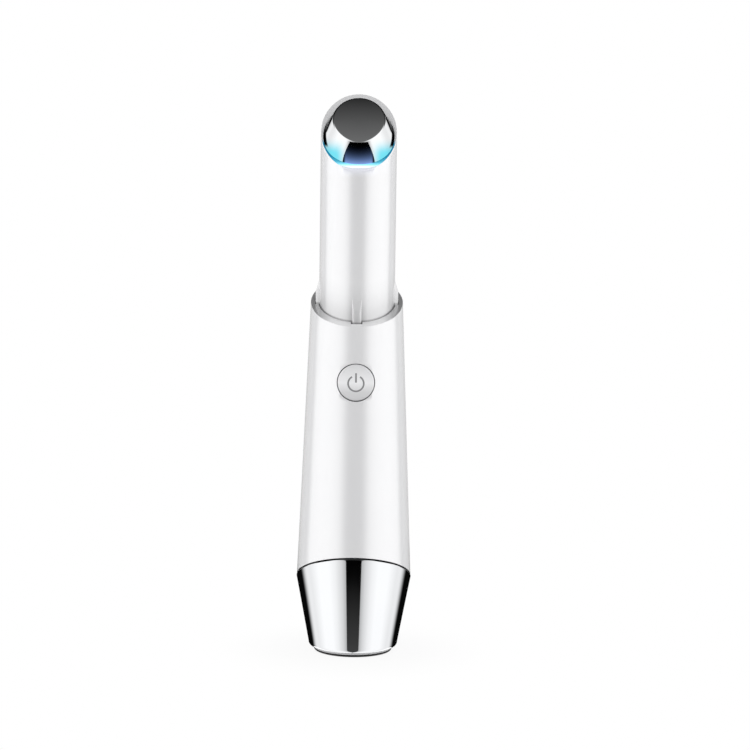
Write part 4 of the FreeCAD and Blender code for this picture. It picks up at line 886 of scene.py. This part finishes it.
# bright drawn steel of cans, shafts and screws
drawnSteel = surface("bright_drawn_steel", ("#b9babd", "#a9aaae"), (0.22, 0.34), 0.2, 0.001,
                     {"Metallic": 1})
# enamelled copper wire, wound close
copperWire = surface("enamelled_copper_winding", ("#b5602f", "#9c4c22"), (0.28, 0.4), 0.12, 0.01,
                     {"Metallic": 1})
# red silicone jacket of the leads
leadSilicone = surface("red_silicone_jacket", ("#8a1a17", "#7a1512"), (0.4, 0.52), 0.3, 0.002)

slotMaterials = {
    "black_rubber": blackSilicone, "frame_plastic": frameAbs, "board_green": greenBoard,
    "board_white": whiteBoard, "lamp_lens": lampLens, "chip_black": chipResin,
    "socket_white": connectorNylon, "switch_stem": connectorNylon, "heater": heaterFilm,
    "sensor": sensorLacquer, "cell_wrap": cellWrap, "foam": blackFoam, "steel": drawnSteel,
    "copper": copperWire, "lead_jacket": leadSilicone, "gloss_white": whiteAbs,
    "chrome_head": headChrome, "chrome_base": chromePlate, "foot_silver": satinFoot,
    "light_ring": ringAcrylic, "button_grey": satinPaint,
}
for part in frame["record"]["subparts"]:
    nodes[part["node"]].data.materials[0] = slotMaterials[part["material_slot"]]
print("CAD pieces dressed")

# ---- floor, light and camera

studio = {
    "floorSize": 6, "floorDrop": 0.02, "floorColour": "#f8f8f8", "floorFade": (0.013, 0.045),
    "floorWhite": (0.89, 1), "sideAngle": 88, "sideDistance": 0.62, "sideWide": 0.26,
    "sideTall": 0.9, "sidePower": 0.6, "lampHeight": 0.15, "ambient": (1.14, 0.65),
    "mirrorStrength": 1.82,
}
# soft boxes that polished parts mirror, by the angle round from straight in front, in degrees
boxes = (
    (0, "#b0b0b0"), (16, "#b4b4b4"), (24, "#d6d6d6"), (38, "#f2f2f2"), (52, "#ffffff"),
    (76, "#ffffff"), (98, "#ebebeb"), (109, "#ececec"), (122, "#ffffff"), (180, "#ffffff"),
)
# half the width in degrees of the dark gap between the boxes, by height (-1 below, 1 above)
gap = ((-1, 16), (-0.4, 15.5), (-0.16, 22), (0.03, 22), (0.1, 38), (0.3, 30), (0.72, 25),
       (0.8, 0))
# where the dark half of the room behind begins, in degrees round from the front, by height
rear = ((-1, 180), (-0.52, 180), (-0.46, 119), (-0.27, 119), (-0.21, 111), (0.03, 111),
        (0.05, 143), (1, 143))
# the rest of the mirrored room. Heights run from -1 below to 1 above, and shares of the way
# round from 0 in front to 1 behind; an edge is the share over which a tone changes
room = {
    "gapEdges": (0.004, 0.07), "gapEdgeHeights": (-0.26, -0.2),
    "gapTones": (0.047, 0.001), "gapToneHeights": (-0.456, -0.428),
    "rearEdges": (0.065, 0.008), "rearEdgeHeights": (0.03, 0.05), "rearTone": 0.002,
    "bandHeight": -0.06, "bandFade": (0.1, 0.14), "bandShares": (0.6, 0.7), "bandTone": 0.3,
    "boxTops": (0.45, 0.55), "boxTopShares": (0.45, 0.52), "boxTopTone": 0.003,
    "ceiling": (0.8, 0.93), "ceilingTones": (0.137, 0.0145), "ceilingDepths": (-0.07, 0.09),
}
# oval black card close in front of the head, for its polished sides alone; in millimetres
card = {"front": -20, "height": 145.8, "halfWidth": 15.3, "halfHeight": 8, "low": 141.7,
        "corners": 96, "colour": "#010101"}


def makeFloor():
    bm = bmesh.new()
    bmesh.ops.create_grid(bm, x_segments=1, y_segments=1, size=studio["floorSize"] / 2)
    moveAll(bm, Matrix.Translation((0, 0, -studio["floorDrop"] * mm)))
    floor = toObject(bm, "floor")
    material, tree, shader = newMaterial("pale_paper_floor", {"Roughness": 0.9})
    shader.inputs["Base Color"].default_value = linear(studio["floorColour"])
    place = addNode(tree, "TexCoord")
    distance = addNode(tree, "VectorMath", {"operation": "LENGTH"}, {0: place.outputs["Object"]})
    away = addNode(tree, "MapRange", smoothly, fromTo(
        distance.outputs["Value"], studio["floorFade"], studio["floorWhite"]))
    rays = addNode(tree, "LightPath")
    shown = addNode(tree, "Math", {"operation": "MULTIPLY"}, {
        0: rays.outputs["Is Camera Ray"], 1: away.outputs["Result"]})
    white = addNode(tree, "Emission", inputs={"Color": grey(1), "Strength": 1})
    mix = addNode(tree, "MixShader", inputs={
        0: shown.outputs[0], 1: shader.outputs["BSDF"], 2: white.outputs["Emission"]})
    # clear from below, so that the foot's underside can be seen
    side = addNode(tree, "NewGeometry")
    clear = addNode(tree, "BsdfTransparent")
    both = addNode(tree, "MixShader", inputs={
        0: side.outputs["Backfacing"], 1: mix.outputs[0], 2: clear.outputs["BSDF"]})
    tree.links.new(both.outputs[0], tree.nodes["Material Output"].inputs["Surface"])
    floor.data.materials.append(material)
    floor.visible_glossy = False


# hangs where only polished parts see it
def makeCard():
    bm = bmesh.new()
    bmesh.ops.create_circle(bm, cap_ends=True, segments=card["corners"], radius=1)
    bmesh.ops.scale(bm, verts=bm.verts,
                    vec=(card["halfWidth"] * mm, card["halfHeight"] * mm, 1))
    moveAll(bm, Matrix.Translation((0, card["front"] * mm, card["height"] * mm))
            @ Matrix.Rotation(math.radians(90), 4, "X"))
    bmesh.ops.bisect_plane(bm, geom=bm.verts[:] + bm.edges[:] + bm.faces[:], clear_inner=True,
                           plane_co=(0, 0, card["low"] * mm), plane_no=(0, 0, 1))
    flag = toObject(bm, "black_card")
    material, tree, shader = newMaterial("black_card_stock", {
        "Base Color": linear(card["colour"]), "Roughness": 1, "Specular IOR Level": 0})
    flag.data.materials.append(material)
    flag.visible_camera = False
    flag.visible_diffuse = False
    flag.visible_transmission = False
    flag.visible_shadow = False


def addLamp(angle):
    lamp = bpy.data.lights.new("side_lamp", "AREA")
    lamp.shape = "RECTANGLE"
    lamp.size, lamp.size_y = studio["sideWide"], studio["sideTall"]
    lamp.energy = studio["sidePower"]
    holder = bpy.data.objects.new("side_lamp", lamp)
    swing = math.radians(angle)
    spot = Vector((math.sin(swing), -math.cos(swing), 0)) * studio["sideDistance"]
    holder.location = spot + Vector((0, 0, studio["lampHeight"]))
    holder.rotation_euler = (-spot).to_track_quat("-Z", "Y").to_euler()
    holder.visible_glossy = False
    bpy.context.scene.collection.objects.link(holder)


# the room that polished parts mirror, as a colour for each direction
def mirroredRoom(tree):
    place = addNode(tree, "TexCoord")
    parts = addNode(tree, "SeparateXYZ", inputs={"Vector": place.outputs["Generated"]})
    height = parts.outputs["Z"]
    forward = addNode(tree, "Math", {"operation": "MULTIPLY"}, {0: parts.outputs["Y"], 1: -1})
    turn = addNode(tree, "Math", {"operation": "ARCTAN2"}, {
        0: parts.outputs["X"], 1: forward.outputs[0]})
    size = addNode(tree, "Math", {"operation": "ABSOLUTE"}, {0: turn.outputs[0]})
    share = addNode(tree, "Math", {"operation": "DIVIDE"}, {0: size.outputs[0], 1: math.pi})
    share = share.outputs[0]
    seen = addNode(tree, "ValToRGB", inputs={"Fac": share}, stops=[
        (angle / 180, linear(colour)) for angle, colour in boxes])
    seen = seen.outputs["Color"]

    # lays a tone over what is seen so far
    def cover(amount, tone):
        return addNode(tree, "Mix", {"data_type": "RGBA"}, {
            0: amount, 6: seen, 7: tone}).outputs[2]

    # how far a direction is past a border that runs at an angle for each height
    def past(border, edges, edgeHeights):
        level = addNode(tree, "MapRange", inputs=fromTo(height, (-1, 1)))
        start = addNode(tree, "ValToRGB", inputs={"Fac": level.outputs["Result"]}, stops=[
            ((z + 1) / 2, grey(angle / 180)) for z, angle in border])
        beyond = addNode(tree, "Math", {"operation": "SUBTRACT"}, {
            0: share, 1: start.outputs["Color"]})
        edge = addNode(tree, "MapRange", inputs=fromTo(height, edgeHeights, edges))
        across = addNode(tree, "Math", {"operation": "DIVIDE"}, {
            0: beyond.outputs[0], 1: edge.outputs["Result"]})
        return across.outputs[0]

    behind = addNode(tree, "MapRange", smoothly, fromTo(
        past(rear, room["rearEdges"], room["rearEdgeHeights"]), (-1, 1)))
    seen = cover(behind.outputs["Result"], grey(room["rearTone"]))
    # the dark gap in front is wider higher up, and a little grey low down where the floor
    # shows. Its edge is sharp low down, where the base shows it, and soft where the plastic does
    inGap = addNode(tree, "MapRange", smoothly, fromTo(
        past(gap, room["gapEdges"], room["gapEdgeHeights"]), (-1, 1), (1, 0)))
    gapTone = addNode(tree, "MapRange", inputs=fromTo(
        height, room["gapToneHeights"], room["gapTones"]))
    seen = cover(inGap.outputs["Result"], gapTone.outputs["Result"])
    # a low pale band behind, seen only at a graze
    off = addNode(tree, "Math", {"operation": "SUBTRACT"}, {0: height, 1: room["bandHeight"]})
    off = addNode(tree, "Math", {"operation": "ABSOLUTE"}, {0: off.outputs[0]})
    band = addNode(tree, "MapRange", smoothly, fromTo(share, room["bandShares"]))
    band = addNode(tree, "MapRange", smoothly, fromTo(
        off.outputs[0], room["bandFade"], (band.outputs["Result"], 0)))
    seen = cover(band.outputs["Result"], grey(room["bandTone"]))
    # the boxes at the back end far below the ceiling
    topped = addNode(tree, "MapRange", smoothly, fromTo(share, room["boxTopShares"]))
    topped = addNode(tree, "MapRange", smoothly, fromTo(
        height, room["boxTops"], (0, topped.outputs["Result"])))
    seen = cover(topped.outputs["Result"], grey(room["boxTopTone"]))
    # the ceiling is dark, and a little lighter towards the front
    above = addNode(tree, "MapRange", smoothly, fromTo(height, room["ceiling"]))
    ceiling = addNode(tree, "MapRange", inputs=fromTo(
        parts.outputs["Y"], room["ceilingDepths"], room["ceilingTones"]))
    return cover(above.outputs["Result"], ceiling.outputs["Result"])


# white for the camera, an even light for dull surfaces and the room for bright ones
def makeWorld():
    world = bpy.data.worlds.new("studio")
    bpy.context.scene.world = world
    world.use_nodes = True
    tree = world.node_tree
    tree.nodes.clear()
    mirror = addNode(tree, "Background", inputs={
        "Color": mirroredRoom(tree), "Strength": studio["mirrorStrength"]})
    # the even light comes a little less from above
    place = addNode(tree, "TexCoord")
    parts = addNode(tree, "SeparateXYZ", inputs={"Vector": place.outputs["Generated"]})
    upward = addNode(tree, "MapRange", inputs=fromTo(
        parts.outputs["Z"], (0, 1), studio["ambient"]))
    soft = addNode(tree, "Background", inputs={
        "Color": grey(1), "Strength": upward.outputs["Result"]})
    white = addNode(tree, "Background", inputs={"Color": grey(1), "Strength": 1})
    rays = addNode(tree, "LightPath")
    dullOrBright = addNode(tree, "MixShader", inputs={
        0: rays.outputs["Is Glossy Ray"], 1: soft.outputs[0], 2: mirror.outputs[0]})
    every = addNode(tree, "MixShader", inputs={
        0: rays.outputs["Is Camera Ray"], 1: dullOrBright.outputs[0], 2: white.outputs[0]})
    out = addNode(tree, "OutputWorld")
    tree.links.new(every.outputs[0], out.inputs["Surface"])


makeFloor()
makeCard()
addLamp(-studio["sideAngle"])
addLamp(studio["sideAngle"])
makeWorld()
print("studio made")

view = {"distance": 680, "height": 154.5, "lookDown": 6.086, "roll": 0.7, "lens": 111.4,
        "sensor": 36, "shift": 0.0253, "rise": 0.0007}


def makeCamera():
    data = bpy.data.cameras.new("camera")
    data.lens, data.sensor_width = view["lens"], view["sensor"]
    data.shift_x, data.shift_y = view["shift"], view["rise"]
    camera = bpy.data.objects.new("camera", data)
    place = Matrix.Translation((0, -view["distance"] * mm, view["height"] * mm))
    tilt = Matrix.Rotation(math.radians(90 - view["lookDown"]), 4, "X")
    camera.matrix_world = place @ tilt @ Matrix.Rotation(math.radians(view["roll"]), 4, "Z")
    bpy.context.scene.collection.objects.link(camera)
    bpy.context.scene.camera = camera


makeCamera()
bpy.context.scene.view_settings.view_transform = "Standard"
bpy.context.view_layer.update()
